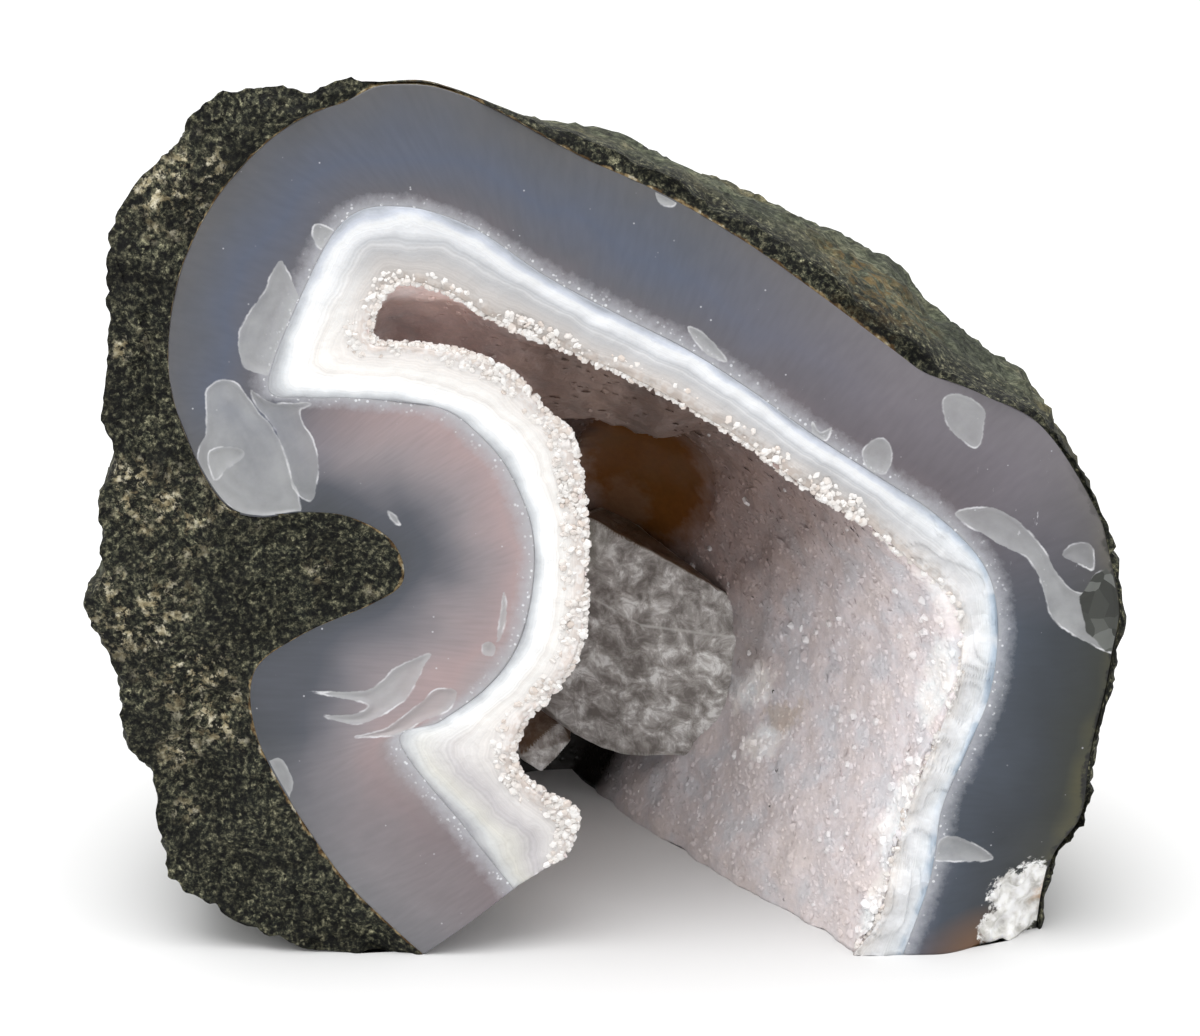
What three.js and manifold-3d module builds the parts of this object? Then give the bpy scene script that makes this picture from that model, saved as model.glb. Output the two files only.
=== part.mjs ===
// Half of an agate geode, broken open and standing on its broken foot.
// Millimetres, +Z up, the broken face towards -Y. The geode is an arch of nested layers:
// basalt outside, then agate, then a crust of quartz crystals round a hollow that is open
// to the front and below, with one calcite crystal grown on the hollow's back wall.

import * as THREE from "three";
import { ConvexGeometry } from "three/addons/geometries/ConvexGeometry.js";
import { mergeVertices } from "three/addons/utils/BufferGeometryUtils.js";
import Module from "manifold-3d";

const wasm = await Module();
wasm.setup();

// Driving dimensions
const LAST_STATION = 33; // stations run over the arch from the left foot, 0, to the right foot
const STATION_STEPS = 66; // facets along the arch
const HEIGHT = 89; // the top of the stone
const FULL_DEPTH = 59.5; // front face to the back of the basalt
const SKIN = 2.6; // basalt over the back of the agate
const AGATE = 12; // agate between the basalt and the crust
const CRUST = 4.5; // quartz between the agate and the hollow
const HOLLOW_DEPTH = 46.5; // front face to the deepest point of the hollow
const GAP = 0.3; // left between neighbouring pieces
const DRUSE_ROWS = 24; // rows of quartz points from the lip to the deepest point
const POINT_HEIGHT = [0.4, 1.4]; // lowest and highest quartz point
const POINT_STRAY = 0.7; // how far the points stray from even rows, as a part of their spacing
const LEDGE_HEIGHT = 5.5; // the ledge on the back wall, above the deep pocket
const POCKET_DEPTH = 1.5; // how far the pocket is sunk below that ledge
const CRUST_LIFT = 0.3; // the crust stays this far above the surface the geode stands on
const FACE_WAVE = 0.8; // slow waves of the broken face, to either side of flat
const FACE_RIPPLE = 0.4; // shorter ones on top of them
const FOOT_CORNER = 6; // the front corner of the right foot is broken back this far
const SHOULDER = 1.6; // and the right shoulder this far
const BACK_LUMPS = 0.7; // lumps on the back of the basalt
const FACE_LUMPS = 1.1; // lumps where the basalt is broken
const SETTLE = 0.6; // depth by which a layer has taken the rounder outline of the back
const ROUND = 0.92; // power of the half ellipse from the face to the back; 1 is an ellipse
const RAMP = 1.3; // added on the hollow's right wall, which is a straight ramp
const GENTLE_RAMP = 0.3; // and in the white band outside that wall
const POLE_X = -3; // where every layer closes, low on the back
const CENTRE = { x: 0.25, y: 29.15 }; // middle of the whole stone, moved to the origin

// Outlines on the broken face, each point a station with its x and z
const BASALT_OUTLINE = [
  [0, -25, 0], [1, -31.5, 1], [2, -38.5, 5], [3, -43, 10], [3.7, -43, 16],
  [4.2, -44, 19.5], [4.8, -46, 21.5], [5.6, -46.5, 28], [6.8, -48.5, 33], [8.2, -50, 37.5],
  [9.4, -48, 39.5], [11, -47.5, 44], [11.6, -48, 47], [12.2, -46.5, 51.5], [12.8, -47.5, 55.5],
  [13.5, -46.5, 62.5], [14.2, -46.5, 70.5], [14.8, -45, 76.5], [15.4, -41, 81], [16, -39, 83.5],
  [16.6, -37, 86.5], [17.3, -31.5, 88.5], [17.8, -27.5, 87.5], [18.3, -23.5, 89], [18.7, -20.5, 89],
  [19.2, -15, 88.7], [20, -5, 84.5], [21, 5, 80], [22, 14, 75], [23, 21.8, 69.3],
  [24, 28.5, 64.3], [25, 35, 59.5], [26, 42, 55.3], [27, 48, 46], [27.6, 49.5, 41],
  [28, 50.5, 36], [28.4, 50, 32], [29, 49.5, 28], [30, 48, 20.5], [31, 47.3, 14.5],
  [32, 45, 9], [33, 44, 0],
];
const AGATE_OUTLINE = [
  [0, -17.5, 0], [1, -21, 3.5], [2, -25.5, 8.5], [3, -30.5, 16.5], [4, -33.5, 23.5],
  [5, -33.5, 30], [6, -29, 33.5], [7, -22, 36.5], [8, -19, 39], [9, -20, 43],
  [10, -24, 45.5], [11, -28.5, 46], [12, -32.8, 45.6], [13, -36, 47], [14, -39, 52.5],
  [15, -41, 60.5], [16, -39.5, 70.5], [17, -34.5, 79.5], [18, -26.5, 86], [19, -16.5, 87.4],
  [20, -5.5, 83], [21, 4.4, 78.5], [22, 13, 73.5], [23, 20.8, 68], [24, 27.4, 63],
  [25, 33.6, 58.3], [26, 40.7, 54.2], [27, 46.6, 45], [28, 48.8, 36], [29, 47.9, 28],
  [30, 46.6, 20.5], [31, 45.9, 14.2], [32, 43.6, 9], [33, 42.4, 0],
];
const BAND_OUTLINE = [
  [0, -8.5, 7], [1, -11, 10.5], [2, -13.5, 14], [3, -19.5, 22.5], [4, -15.5, 24.5],
  [5, -11, 28], [6, -8, 32.5], [7, -6.5, 38.5], [8, -6.5, 44.5], [9, -8.5, 50],
  [10, -11, 53.5], [11, -14.5, 56.5], [12, -19, 57.5], [13, -24, 58], [14, -28, 58],
  [15, -31.5, 59], [16, -28.5, 67.5], [17, -24, 75.5], [18, -18.5, 77], [19, -12, 75],
  [20, -5, 70], [21, 2, 66], [22, 8.5, 62.5], [23, 14.5, 58.5], [24, 20.5, 54],
  [25, 27, 49.5], [26, 32.5, 45.5], [27, 37, 40.5], [28, 38.5, 35], [29, 38, 28],
  [30, 35.5, 21], [31, 33.5, 15.5], [32, 32.5, 8], [33, 30, 0],
];
const HOLLOW_OUTLINE = [
  [0, -3.5, 10], [1, -2.5, 14.5], [2, -6, 17], [3, -8.5, 20], [4, -7.5, 24.5],
  [5, -4.5, 28], [6, -2, 33], [7, -1.5, 38.5], [8, -1.5, 44.5], [9, -2, 49.5],
  [10, -3, 54], [11, -5, 56], [12, -8.5, 60], [13, -12.5, 62], [14, -17, 63],
  [15, -21.5, 63.5], [16, -21.5, 66.5], [17, -19, 69.5], [18, -14.5, 68.5], [19, -9.5, 65.5],
  [20, -4, 63], [21, 3, 60], [22, 8.5, 57], [23, 14, 53.5], [24, 19, 49.5],
  [25, 25, 45.5], [26, 30, 41], [27, 34, 37], [28, 35, 31], [29, 33.5, 25],
  [30, 31, 18], [31, 29, 11], [32, 27.5, 4], [33, 25, 0],
];

// The rounder outline that the basalt has further back, station by station
const BACK_OUTLINE = [
  [0, -48, 0], [2, -48.5, 6], [4, -49, 18], [6, -49.5, 30], [8, -49, 40],
  [11, -47.5, 52], [14, -43.5, 64], [16, -36, 71], [18, -25, 75], [19, -15, 76],
  [20, -6, 77], [21.5, 9, 77], [23, 23.5, 74], [24.5, 35, 66.5], [26, 42.3, 53.5],
  [28, 48, 36], [30, 49.5, 20], [32, 49, 7], [33, 49, 0],
];

// Corners of the calcite crystal, the tallest first, and of a smaller one that it grew with
const CALCITE_CORNERS = [
  [-1.8, 34, 33.9], [3.6, 33.5, 31.1], [13.9, 29.5, 26.2], [16.1, 27.5, 22.4], [14.1, 27.5, 15.5],
  [9.6, 30.5, 8.1], [2.1, 32, 7.5], [-2.6, 34, 8.9], [-7, 35, 13.1], [-8, 33, 29],
  [4.4, 28.6, 23.5], [1, 46, 34], [16, 44, 24], [12, 46, 7], [-9, 46, 9], [-9, 46, 30],
];
const SMALL_CALCITE_CORNERS = [
  [-9, 38, 8.3], [-4.2, 37, 9.4], [-2.9, 36, 7.5], [-6.1, 35, 4.5], [-8.4, 35, 6.4],
  [-12, 45, 5], [-3, 45, 12], [-10, 44, 13],
];

const SAME_POINT = 1e-3; // corners closer than this are one

const smooth = (t) => THREE.MathUtils.smoothstep(t, 0, 1);
const easeOut = (t) => Math.sin((Math.min(t, 1) * Math.PI) / 2);

// A cubic between each two points of an outline, with the slope between a point's neighbours
function curveThrough(points) {
  const slope = (k, axis) => {
    const before = points[Math.max(k - 1, 0)];
    const after = points[Math.min(k + 1, points.length - 1)];
    return (after[axis] - before[axis]) / (after[0] - before[0]);
  };
  return (station) => {
    let k = points.findIndex((point) => point[0] > station) - 1;
    if (k < 0) k = points.length - 2;
    const [from, to] = [points[k], points[k + 1]];
    const span = to[0] - from[0];
    const t = (station - from[0]) / span;
    const hermite = (axis) =>
      from[axis] * (2 * t ** 3 - 3 * t ** 2 + 1) +
      to[axis] * (3 * t ** 2 - 2 * t ** 3) +
      slope(k, axis) * span * (t ** 3 - 2 * t ** 2 + t) +
      slope(k + 1, axis) * span * (t ** 3 - t ** 2);
    return new THREE.Vector2(hermite(1), hermite(2));
  };
}

// How far the broken face stands back from its flat plane
function faceRelief(x, z) {
  const wave = FACE_WAVE * Math.sin(x / 9 + 0.6) * Math.sin(z / 11 + 1.1);
  const ripple = FACE_RIPPLE * Math.sin(x / 5.3 + z / 6.1);
  const footCorner = FOOT_CORNER * smooth((x - 33) / 12) * smooth((18 - z) / 16);
  const shoulder = SHOULDER * smooth((x - 38) / 8) * smooth((z - 38) / 8);
  return wave + ripple + footCorner + shoulder;
}

// Uneven lumps of the basalt, from about -1 to 1
function lumps(p) {
  return (
    0.5 * Math.sin(p.x / 2.9 + 1.3 * Math.sin(p.z / 4.1) + 0.7) * Math.sin(p.z / 3.3 + p.y / 4.7) +
    0.5 * Math.sin(p.x / 5.1 - p.z / 6.3 + 2.1 * Math.sin(p.y / 7.9))
  );
}

// A repeatable number from 0 to 1 for a pair of counts
function scatter(i, j) {
  const wild = Math.sin(i * 12.9898 + j * 78.233) * 43758.5453;
  return wild - Math.floor(wild);
}

const backEdge = curveThrough(BACK_OUTLINE);

// The back outline brought in towards the pole
function backOutline(station, inset) {
  const reach = backEdge(station).sub(new THREE.Vector2(POLE_X, 0));
  return reach.setLength(reach.length() - inset);
}

// A boundary between layers: a point for each station and depth, 0 at the face, 1 at the pole
function boundary({ outline, inset, depth, steepness }) {
  const edge = curveThrough(outline);
  return (station, v) => {
    const rim = edge(station);
    const back = backOutline(station, inset);
    const settle = easeOut(v / SETTLE);
    const turn = (v * Math.PI) / 2;
    const shrink = v < 1 ? Math.cos(turn) ** steepness(station) : 0;
    const x = THREE.MathUtils.lerp(rim.x - POLE_X, back.x, settle);
    const z = THREE.MathUtils.lerp(rim.y, back.y, settle);
    const y = faceRelief(rim.x, rim.y) * (1 - v) ** 2 + depth * Math.sin(turn) ** steepness(station);
    return new THREE.Vector3(POLE_X + x * shrink, y, z * shrink);
  };
}

// The left and the top of a layer are round, and the ramp grows towards the right foot
const round = () => ROUND;
const growing = (by) => (station) => 1 + by * smooth((station - 20) / 12);
const basaltSide = boundary({
  outline: BASALT_OUTLINE, inset: 0, depth: FULL_DEPTH, steepness: round,
});
const agateSide = boundary({
  outline: AGATE_OUTLINE, inset: SKIN, depth: FULL_DEPTH - SKIN, steepness: round,
});
const bandSide = boundary({
  outline: BAND_OUTLINE, inset: SKIN + AGATE, depth: HOLLOW_DEPTH + CRUST,
  steepness: growing(GENTLE_RAMP),
});
const hollowSide = boundary({
  outline: HOLLOW_OUTLINE, inset: SKIN + AGATE + CRUST, depth: HOLLOW_DEPTH,
  steepness: growing(RAMP),
});

// The outward direction of a boundary at a station and depth
function outward(side, station, v) {
  if (v === 1) return new THREE.Vector3(0, 1, 0);
  const small = 0.01;
  const here = THREE.MathUtils.clamp(station, small, LAST_STATION - small);
  const deep = THREE.MathUtils.clamp(v, small, 1 - small);
  const along = side(here + small, deep).sub(side(here - small, deep));
  const inwards = side(here, deep + small).sub(side(here, deep - small));
  const normal = along.cross(inwards);
  if (side(station, v).z < small) normal.z = 0;
  return normal.normalize();
}

// A boundary moved along its own outward direction
function moved(side, by) {
  return (station, v) => {
    const height = typeof by === "function" ? by(station, v) : by;
    return side(station, v).addScaledVector(outward(side, station, v), height);
  };
}

const stationAt = (i) => (i / STATION_STEPS) * LAST_STATION;

// A closed solid between two boundaries: outer side, broken face, inner side, two footprints
function layerGeometry(layer) {
  const { outer, inner, outerSteps, innerSteps, faceSteps } = layer;
  const { relief = () => 0, lift = 0, points = false } = layer;
  const onSide = (side, steps, i) =>
    Array.from({ length: steps + 1 }, (_, j) => side(stationAt(i), j / steps));
  const acrossFace = (i) => {
    const [from, to] = [outer(stationAt(i), 0), inner(stationAt(i), 0)];
    return Array.from({ length: faceSteps - 1 }, (_, k) => {
      const w = (k + 1) / faceSteps;
      const point = from.clone().lerp(to, w);
      point.y = faceRelief(point.x, point.z) + relief(point, w);
      return point;
    });
  };
  // One slice through the layer, from the outer pole over the face to the inner pole
  const slice = (i) => {
    const line = [
      ...onSide(outer, outerSteps, i).reverse(),
      ...acrossFace(i),
      ...onSide(inner, innerSteps, i),
    ];
    line.forEach((point) => (point.z = lift + Math.max(point.z, 0) * (1 - lift / HEIGHT)));
    return line;
  };
  const slices = Array.from({ length: STATION_STEPS + 1 }, (_, i) => slice(i));
  // Facets that face each other across a gap are split the same way, so they stay apart.
  // Round quartz points the split alternates, to run between the feet of the points.
  const firstInner = outerSteps + faceSteps;
  const splitsAcross = (i, j) => {
    if (j < outerSteps) return true;
    return points && j >= firstInner && (i + j - firstInner) % 2 === 1;
  };
  const corners = [];
  const triangle = (a, b, c) => {
    const sides = [a.distanceTo(b), b.distanceTo(c), c.distanceTo(a)];
    if (Math.min(...sides) > SAME_POINT) corners.push(a, b, c);
  };
  for (let i = 0; i < STATION_STEPS; i++) {
    for (let j = 0; j < slices[0].length - 1; j++) {
      const [a, b] = [slices[i][j], slices[i][j + 1]];
      const [c, d] = [slices[i + 1][j + 1], slices[i + 1][j]];
      if (splitsAcross(i, j)) {
        triangle(a, b, d);
        triangle(b, c, d);
      } else {
        triangle(a, b, c);
        triangle(a, c, d);
      }
    }
  }
  // The underside of a foot, every triangle facing down
  const footprint = (line) => {
    const flat = line.map((point) => new THREE.Vector2(point.x, point.y));
    for (const [a, b, c] of THREE.ShapeUtils.triangulateShape(flat, [])) {
      if (THREE.ShapeUtils.isClockWise([flat[a], flat[b], flat[c]])) triangle(line[a], line[b], line[c]);
      else triangle(line[a], line[c], line[b]);
    }
  };
  footprint(slices[0]);
  footprint(slices[STATION_STEPS]);
  return new THREE.BufferGeometry().setFromPoints(corners);
}

// Height of the hollow's wall over its even curve: a ledge above, a pocket sunk below it
function wallForm(station, v) {
  const across = smooth((station - 17) / 2) * smooth(22.8 - station);
  const ledge = smooth((v - 0.1) / 0.16) * smooth((0.36 - v) / 0.06);
  const pocket = Math.exp(-(((station - 21) / 1.6) ** 2) - ((v - 0.47) / 0.09) ** 2);
  return LEDGE_HEIGHT * ledge * across - POCKET_DEPTH * pocket;
}

// Every second corner of the wall is the tip of a four-sided quartz point
function druseHeight(i, j) {
  if (j === 0 || j === DRUSE_ROWS || (i + j) % 2) return 0;
  return THREE.MathUtils.lerp(...POINT_HEIGHT, scatter(i, j)) * smooth((DRUSE_ROWS - j) / 6);
}

// The wall of the hollow, covered with quartz points
function druseSide(station, v) {
  const i = Math.round((station / LAST_STATION) * STATION_STEPS);
  const j = Math.round(v * DRUSE_ROWS);
  const inside = i > 0 && i < STATION_STEPS && j > 0 && j < DRUSE_ROWS ? POINT_STRAY : 0;
  const strayStation = station + ((scatter(i, j + 0.3) - 0.5) * inside * LAST_STATION) / STATION_STEPS;
  const strayV = v + ((scatter(i + 0.3, j) - 0.5) * inside) / DRUSE_ROWS;
  const height = wallForm(strayStation, strayV) + druseHeight(i, j);
  return moved(hollowSide, -height)(strayStation, strayV);
}

// A geometry as a solid that can be cut and joined, and back again
function solidOf(geometry) {
  const bare = geometry.clone();
  bare.deleteAttribute("normal");
  const merged = mergeVertices(bare, SAME_POINT);
  return new wasm.Manifold(
    new wasm.Mesh({
      numProp: 3,
      vertProperties: new Float32Array(merged.attributes.position.array),
      triVerts: new Uint32Array(merged.index.array),
    }),
  );
}
function geometryOf(solid) {
  const mesh = solid.getMesh();
  const geometry = new THREE.BufferGeometry();
  geometry.setAttribute("position", new THREE.BufferAttribute(mesh.vertProperties, 3));
  geometry.setIndex(new THREE.BufferAttribute(mesh.triVerts, 1));
  return geometry;
}

// The lumps of the back fade out at the broken edge and at the pole
function backLumps(station, v) {
  return BACK_LUMPS * lumps(basaltSide(station, v)) * smooth(v / 0.1) * (1 - v);
}

const basaltGeometry = layerGeometry({
  outer: moved(basaltSide, backLumps),
  inner: moved(agateSide, GAP / 2),
  outerSteps: 10,
  innerSteps: 7,
  faceSteps: 4,
  relief: (point, w) => FACE_LUMPS * lumps(point) * Math.sin(Math.PI * w),
});
const agateGeometry = layerGeometry({
  outer: moved(agateSide, -GAP / 2),
  inner: moved(bandSide, GAP / 2),
  outerSteps: 7,
  innerSteps: 7,
  faceSteps: 4,
});
const crustGeometry = layerGeometry({
  outer: moved(bandSide, -GAP / 2),
  inner: druseSide,
  outerSteps: 7,
  innerSteps: DRUSE_ROWS,
  faceSteps: 2,
  lift: CRUST_LIFT,
  points: true,
});

// The calcite fills the room between its corners and the tips of the quartz behind it
function calciteGeometry() {
  const hull = (corners) =>
    solidOf(new ConvexGeometry(corners.map((corner) => new THREE.Vector3(...corner))));
  const clearOfQuartz = moved(hollowSide, (station, v) => -wallForm(station, v) - POINT_HEIGHT[1] - GAP);
  const stone = layerGeometry({
    outer: basaltSide,
    inner: clearOfQuartz,
    outerSteps: 7,
    innerSteps: 8,
    faceSteps: 1,
  });
  return geometryOf(hull(CALCITE_CORNERS).add(hull(SMALL_CALCITE_CORNERS)).subtract(solidOf(stone)));
}

const mesh = (name, geometry, color, roughness) => {
  const made = new THREE.Mesh(
    geometry,
    new THREE.MeshStandardMaterial({ color, roughness, metalness: 0, flatShading: true }),
  );
  made.name = name;
  return made;
};

const geode = new THREE.Group();
geode.add(
  mesh("basalt_matrix", basaltGeometry, 0x2f312b, 0.9),
  mesh("agate_rind", agateGeometry, 0x6f7384, 0.35),
  mesh("quartz_crust", crustGeometry, 0xcbbfc3, 0.4),
  mesh("calcite_crystal", calciteGeometry(), 0x9d9a95, 0.45),
);
geode.position.set(-CENTRE.x, -CENTRE.y, 0);

export default geode;
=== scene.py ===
# %% [markdown]
# # Half of an agate geode
# A geode starts as a gas bubble in basalt. Silica then fills it from the wall inwards:
# first grey agate, then a white band, and last a crust of quartz points round the hollow
# that is left. This one was broken open, so its broken face shows every layer in turn.
# We build each mineral as one closed surface, worked out with numpy, round the packed
# model, which stays as the frame that fixes all sizes and places.

# %% The frame
import bmesh
import bpy
import numpy as np
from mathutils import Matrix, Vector


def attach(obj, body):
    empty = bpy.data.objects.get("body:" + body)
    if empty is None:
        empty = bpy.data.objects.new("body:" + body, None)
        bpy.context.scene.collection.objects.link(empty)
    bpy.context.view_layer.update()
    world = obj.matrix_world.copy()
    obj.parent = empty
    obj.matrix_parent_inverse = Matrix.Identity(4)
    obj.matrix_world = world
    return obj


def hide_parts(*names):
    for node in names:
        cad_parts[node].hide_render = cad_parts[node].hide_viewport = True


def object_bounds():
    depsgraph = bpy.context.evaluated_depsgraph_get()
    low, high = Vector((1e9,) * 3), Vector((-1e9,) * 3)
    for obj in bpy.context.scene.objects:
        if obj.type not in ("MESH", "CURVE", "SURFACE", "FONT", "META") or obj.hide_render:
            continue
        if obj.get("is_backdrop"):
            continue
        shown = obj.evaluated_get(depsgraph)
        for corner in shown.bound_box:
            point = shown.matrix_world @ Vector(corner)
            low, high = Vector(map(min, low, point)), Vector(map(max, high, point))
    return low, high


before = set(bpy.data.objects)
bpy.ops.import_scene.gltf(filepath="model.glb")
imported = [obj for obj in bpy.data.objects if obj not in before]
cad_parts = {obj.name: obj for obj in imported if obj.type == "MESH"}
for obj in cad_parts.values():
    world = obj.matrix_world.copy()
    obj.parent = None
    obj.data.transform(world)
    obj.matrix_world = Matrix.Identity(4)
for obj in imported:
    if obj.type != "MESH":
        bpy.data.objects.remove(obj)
cad_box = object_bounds()
print("solids in the frame:", sorted(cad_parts))

# %% [markdown]
# ## One way to name a place on the stone
# The geode is an arch of nested layers. A number called the station runs over the arch,
# from 0 at the left foot to 33 at the right foot. Each boundary between two minerals has a
# line on the broken face, given by a few listed points, each with its station. The lines
# could be Bezier curves, but a plain cubic through the points is easy to read and to
# evaluate for whole arrays of stations. Lengths here are millimetres.

# %% Boundary lines on the broken face: station, x, z
LAST_STATION = 33
TOP_STATION = 18.5
BASALT_OUTLINE = [
    (0, -25, 0), (1, -31.5, 1), (2, -38.5, 5), (3, -43, 10), (3.7, -43, 16), (4.2, -44, 19.5),
    (4.8, -46, 21.5), (5.6, -46.5, 28), (6.8, -48.5, 33), (8.2, -50, 37.5), (9.4, -48, 39.5),
    (11, -47.5, 44), (11.6, -48, 47), (12.2, -46.5, 51.5), (12.8, -47.5, 55.5), (13.5, -46.5, 62.5),
    (14.2, -46.5, 70.5), (14.8, -45, 76.5), (15.4, -41, 81), (16, -39, 83.5), (16.6, -37, 86.5),
    (17.3, -31.5, 88.5), (17.8, -27.5, 87.5), (18.3, -23.5, 89), (18.7, -20.5, 89),
    (19.2, -15, 88.7), (20, -5, 84.5), (21, 5, 80), (22, 14, 75), (23, 21.8, 69.3),
    (24, 28.5, 64.3), (25, 35, 59.5), (26, 42, 55.3), (27, 48, 46), (27.6, 49.5, 41),
    (28, 50.5, 36), (28.4, 50, 32), (29, 49.5, 28), (30, 48, 20.5), (31, 47.3, 14.5), (32, 45, 9),
    (33, 44, 0),
]
AGATE_OUTLINE = [
    (0, -17.5, 0), (1, -21, 3.5), (2, -25.5, 8.5), (3, -30.5, 16.5), (4, -33.5, 23.5),
    (5, -33.5, 30), (6, -29, 33.5), (7, -22, 36.5), (8, -19, 39), (9, -20, 43),
    (10, -24, 45.5), (11, -28.5, 46), (12, -32.8, 45.6), (13, -36, 47), (14, -39, 52.5),
    (15, -41, 60.5), (16, -39.5, 70.5), (17, -34.5, 79.5), (18, -26.5, 86), (19, -16.5, 87.4),
    (20, -5.5, 83), (21, 4.4, 78.5), (22, 13, 73.5), (23, 20.8, 68), (24, 27.4, 63),
    (25, 33.6, 58.3), (26, 40.7, 54.2), (27, 46.6, 45), (28, 48.8, 36), (29, 47.9, 28),
    (30, 46.6, 20.5), (31, 45.9, 14.2), (32, 43.6, 9), (33, 42.4, 0),
]
BAND_OUTLINE = [
    (0, -8.5, 7), (1, -11, 10.5), (2, -13.5, 14), (3, -19.5, 22.5), (4, -15.5, 24.5),
    (5, -11, 28), (6, -8, 32.5), (7, -6.5, 38.5), (8, -6.5, 44.5), (9, -8.5, 50),
    (10, -11, 53.5), (11, -14.5, 56.5), (12, -19, 57.5), (13, -24, 58), (14, -28, 58),
    (15, -31.5, 59), (16, -28.5, 67.5), (17, -24, 75.5), (18, -18.5, 77), (19, -12, 75),
    (20, -5, 70), (21, 2, 66), (22, 8.5, 62.5), (23, 14.5, 58.5), (24, 20.5, 54),
    (25, 27, 49.5), (26, 32.5, 45.5), (27, 37, 40.5), (28, 38.5, 35), (29, 38, 28),
    (30, 35.5, 21), (31, 33.5, 15.5), (32, 32.5, 8), (33, 30, 0),
]
HOLLOW_OUTLINE = [
    (0, -3.5, 10), (1, -2.5, 14.5), (2, -6, 17), (3, -8.5, 20), (4, -7.5, 24.5),
    (5, -4.5, 28), (6, -2, 33), (7, -1.5, 38.5), (8, -1.5, 44.5), (9, -2, 49.5),
    (10, -3, 54), (11, -5, 56), (12, -8.5, 60), (13, -12.5, 62), (14, -17, 63),
    (15, -21.5, 63.5), (16, -21.5, 66.5), (17, -19, 69.5), (18, -14.5, 68.5), (19, -9.5, 65.5),
    (20, -4, 63), (21, 3, 60), (22, 8.5, 57), (23, 14, 53.5), (24, 19, 49.5),
    (25, 25, 45.5), (26, 30, 41), (27, 34, 37), (28, 35, 31), (29, 33.5, 25),
    (30, 31, 18), (31, 29, 11), (32, 27.5, 4), (33, 25, 0),
]
# The rounder outline that the basalt has further back
BACK_OUTLINE = [
    (0, -48, 0), (2, -48.5, 6), (4, -49, 18), (6, -49.5, 30), (8, -49, 40),
    (11, -47.5, 52), (14, -43.5, 64), (16, -36, 71), (18, -25, 75), (19, -15, 76),
    (20, -6, 77), (21.5, 9, 77), (23, 23.5, 74), (24.5, 35, 66.5), (26, 42.3, 53.5),
    (28, 48, 36), (30, 49.5, 20), (32, 49, 7), (33, 49, 0),
]


def curve_through(outline, station):
    """A cubic between each two points, whose slope at a point is that between its neighbours."""
    outline = np.array(outline, float)
    knots, places = outline[:, 0], outline[:, 1:]
    before = np.maximum(np.arange(len(knots)) - 1, 0)
    after = np.minimum(np.arange(len(knots)) + 1, len(knots) - 1)
    slopes = (places[after] - places[before]) / (knots[after] - knots[before])[:, None]
    k = np.clip(np.searchsorted(knots, station, side="right") - 1, 0, len(knots) - 2)
    span = (knots[k + 1] - knots[k])[..., None]
    t = (station - knots[k])[..., None] / span
    return (
        places[k] * (2 * t**3 - 3 * t**2 + 1)
        + places[k + 1] * (3 * t**2 - 2 * t**3)
        + slopes[k] * span * (t**3 - 2 * t**2 + t)
        + slopes[k + 1] * span * (t**3 - t**2)
    )


top = curve_through(BASALT_OUTLINE, np.array([TOP_STATION]))[0]
print("the top of the broken face is at x, z =", top.round(1), "mm")

# %% [markdown]
# ## From the broken face to the round back
# Behind the face every boundary turns into a half dome. Its depth v runs from 0 at the face
# to 1 at the pole, the low point on the back where all stations meet. A half ellipse gives
# the dome, and on the way the line of the face eases into a rounder outline. The same
# formula made the solids in the frame, so what we build lies on them, apart from lumps and
# grains, a lower and sharper ledge, and an agate that reaches further out in two places.

# %% Boundaries as functions of station and depth
SKIN = 2.6
AGATE = 12
CRUST = 4.5
HOLLOW_DEPTH = 46.5
FULL_DEPTH = 59.5
POLE_X = -3
# The depth by which the face's outline has eased into that of the back
EASED_BY = 0.6
EVEN_POWER = 0.92
CENTRE = np.array([0.25, 29.15, 0])
MM = 0.001


def smooth(t):
    """An S-shaped step: 0 up to 0, 1 from 1, level at both ends."""
    t = np.clip(t, 0, 1)
    return t * t * (3 - 2 * t)


def face_relief(x, z):
    """How far the broken face stands back: slow waves, and two corners that fall away."""
    wave = 0.8 * np.sin(x / 9 + 0.6) * np.sin(z / 11 + 1.1)
    ripple = 0.4 * np.sin(x / 5.3 + z / 6.1)
    foot_corner = 6 * smooth((x - 33) / 12) * smooth((18 - z) / 16)
    shoulder = 1.6 * smooth((x - 38) / 8) * smooth((z - 38) / 8)
    return wave + ripple + foot_corner + shoulder


def boundary(outline, inset, depth, ramp):
    """A half dome: the outline shrinks with the cosine of the depth, as y grows with its sine.
    Both are raised to a power, which goes from 1 on the left to 1 + ramp on the right foot."""

    def place(station, v):
        station, v = np.broadcast_arrays(np.asarray(station, float), np.asarray(v, float))
        rim = curve_through(outline, station)
        back = curve_through(BACK_OUTLINE, station) - (POLE_X, 0)
        back *= 1 - inset / np.linalg.norm(back, axis=-1, keepdims=True)
        settle = np.sin(np.minimum(v / EASED_BY, 1) * np.pi / 2)
        power = EVEN_POWER if ramp is None else 1 + ramp * smooth((station - 20) / 12)
        turn = v * np.pi / 2
        shrink = np.where(v < 1, np.abs(np.cos(turn)) ** power, 0)
        x = rim[..., 0] - POLE_X
        x = x + (back[..., 0] - x) * settle
        z = rim[..., 1] + (back[..., 1] - rim[..., 1]) * settle
        relief = face_relief(rim[..., 0], rim[..., 1]) * (1 - v) ** 2
        y = relief + depth * np.sin(turn) ** power
        return np.stack([POLE_X + x * shrink, y, z * shrink], -1)

    return place


basalt_side = boundary(BASALT_OUTLINE, 0, FULL_DEPTH, None)
agate_side = boundary(AGATE_OUTLINE, SKIN, FULL_DEPTH - SKIN, None)
band_side = boundary(BAND_OUTLINE, SKIN + AGATE, HOLLOW_DEPTH + CRUST, 0.3)
hollow_side = boundary(HOLLOW_OUTLINE, SKIN + AGATE + CRUST, HOLLOW_DEPTH, 1.3)


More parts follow.
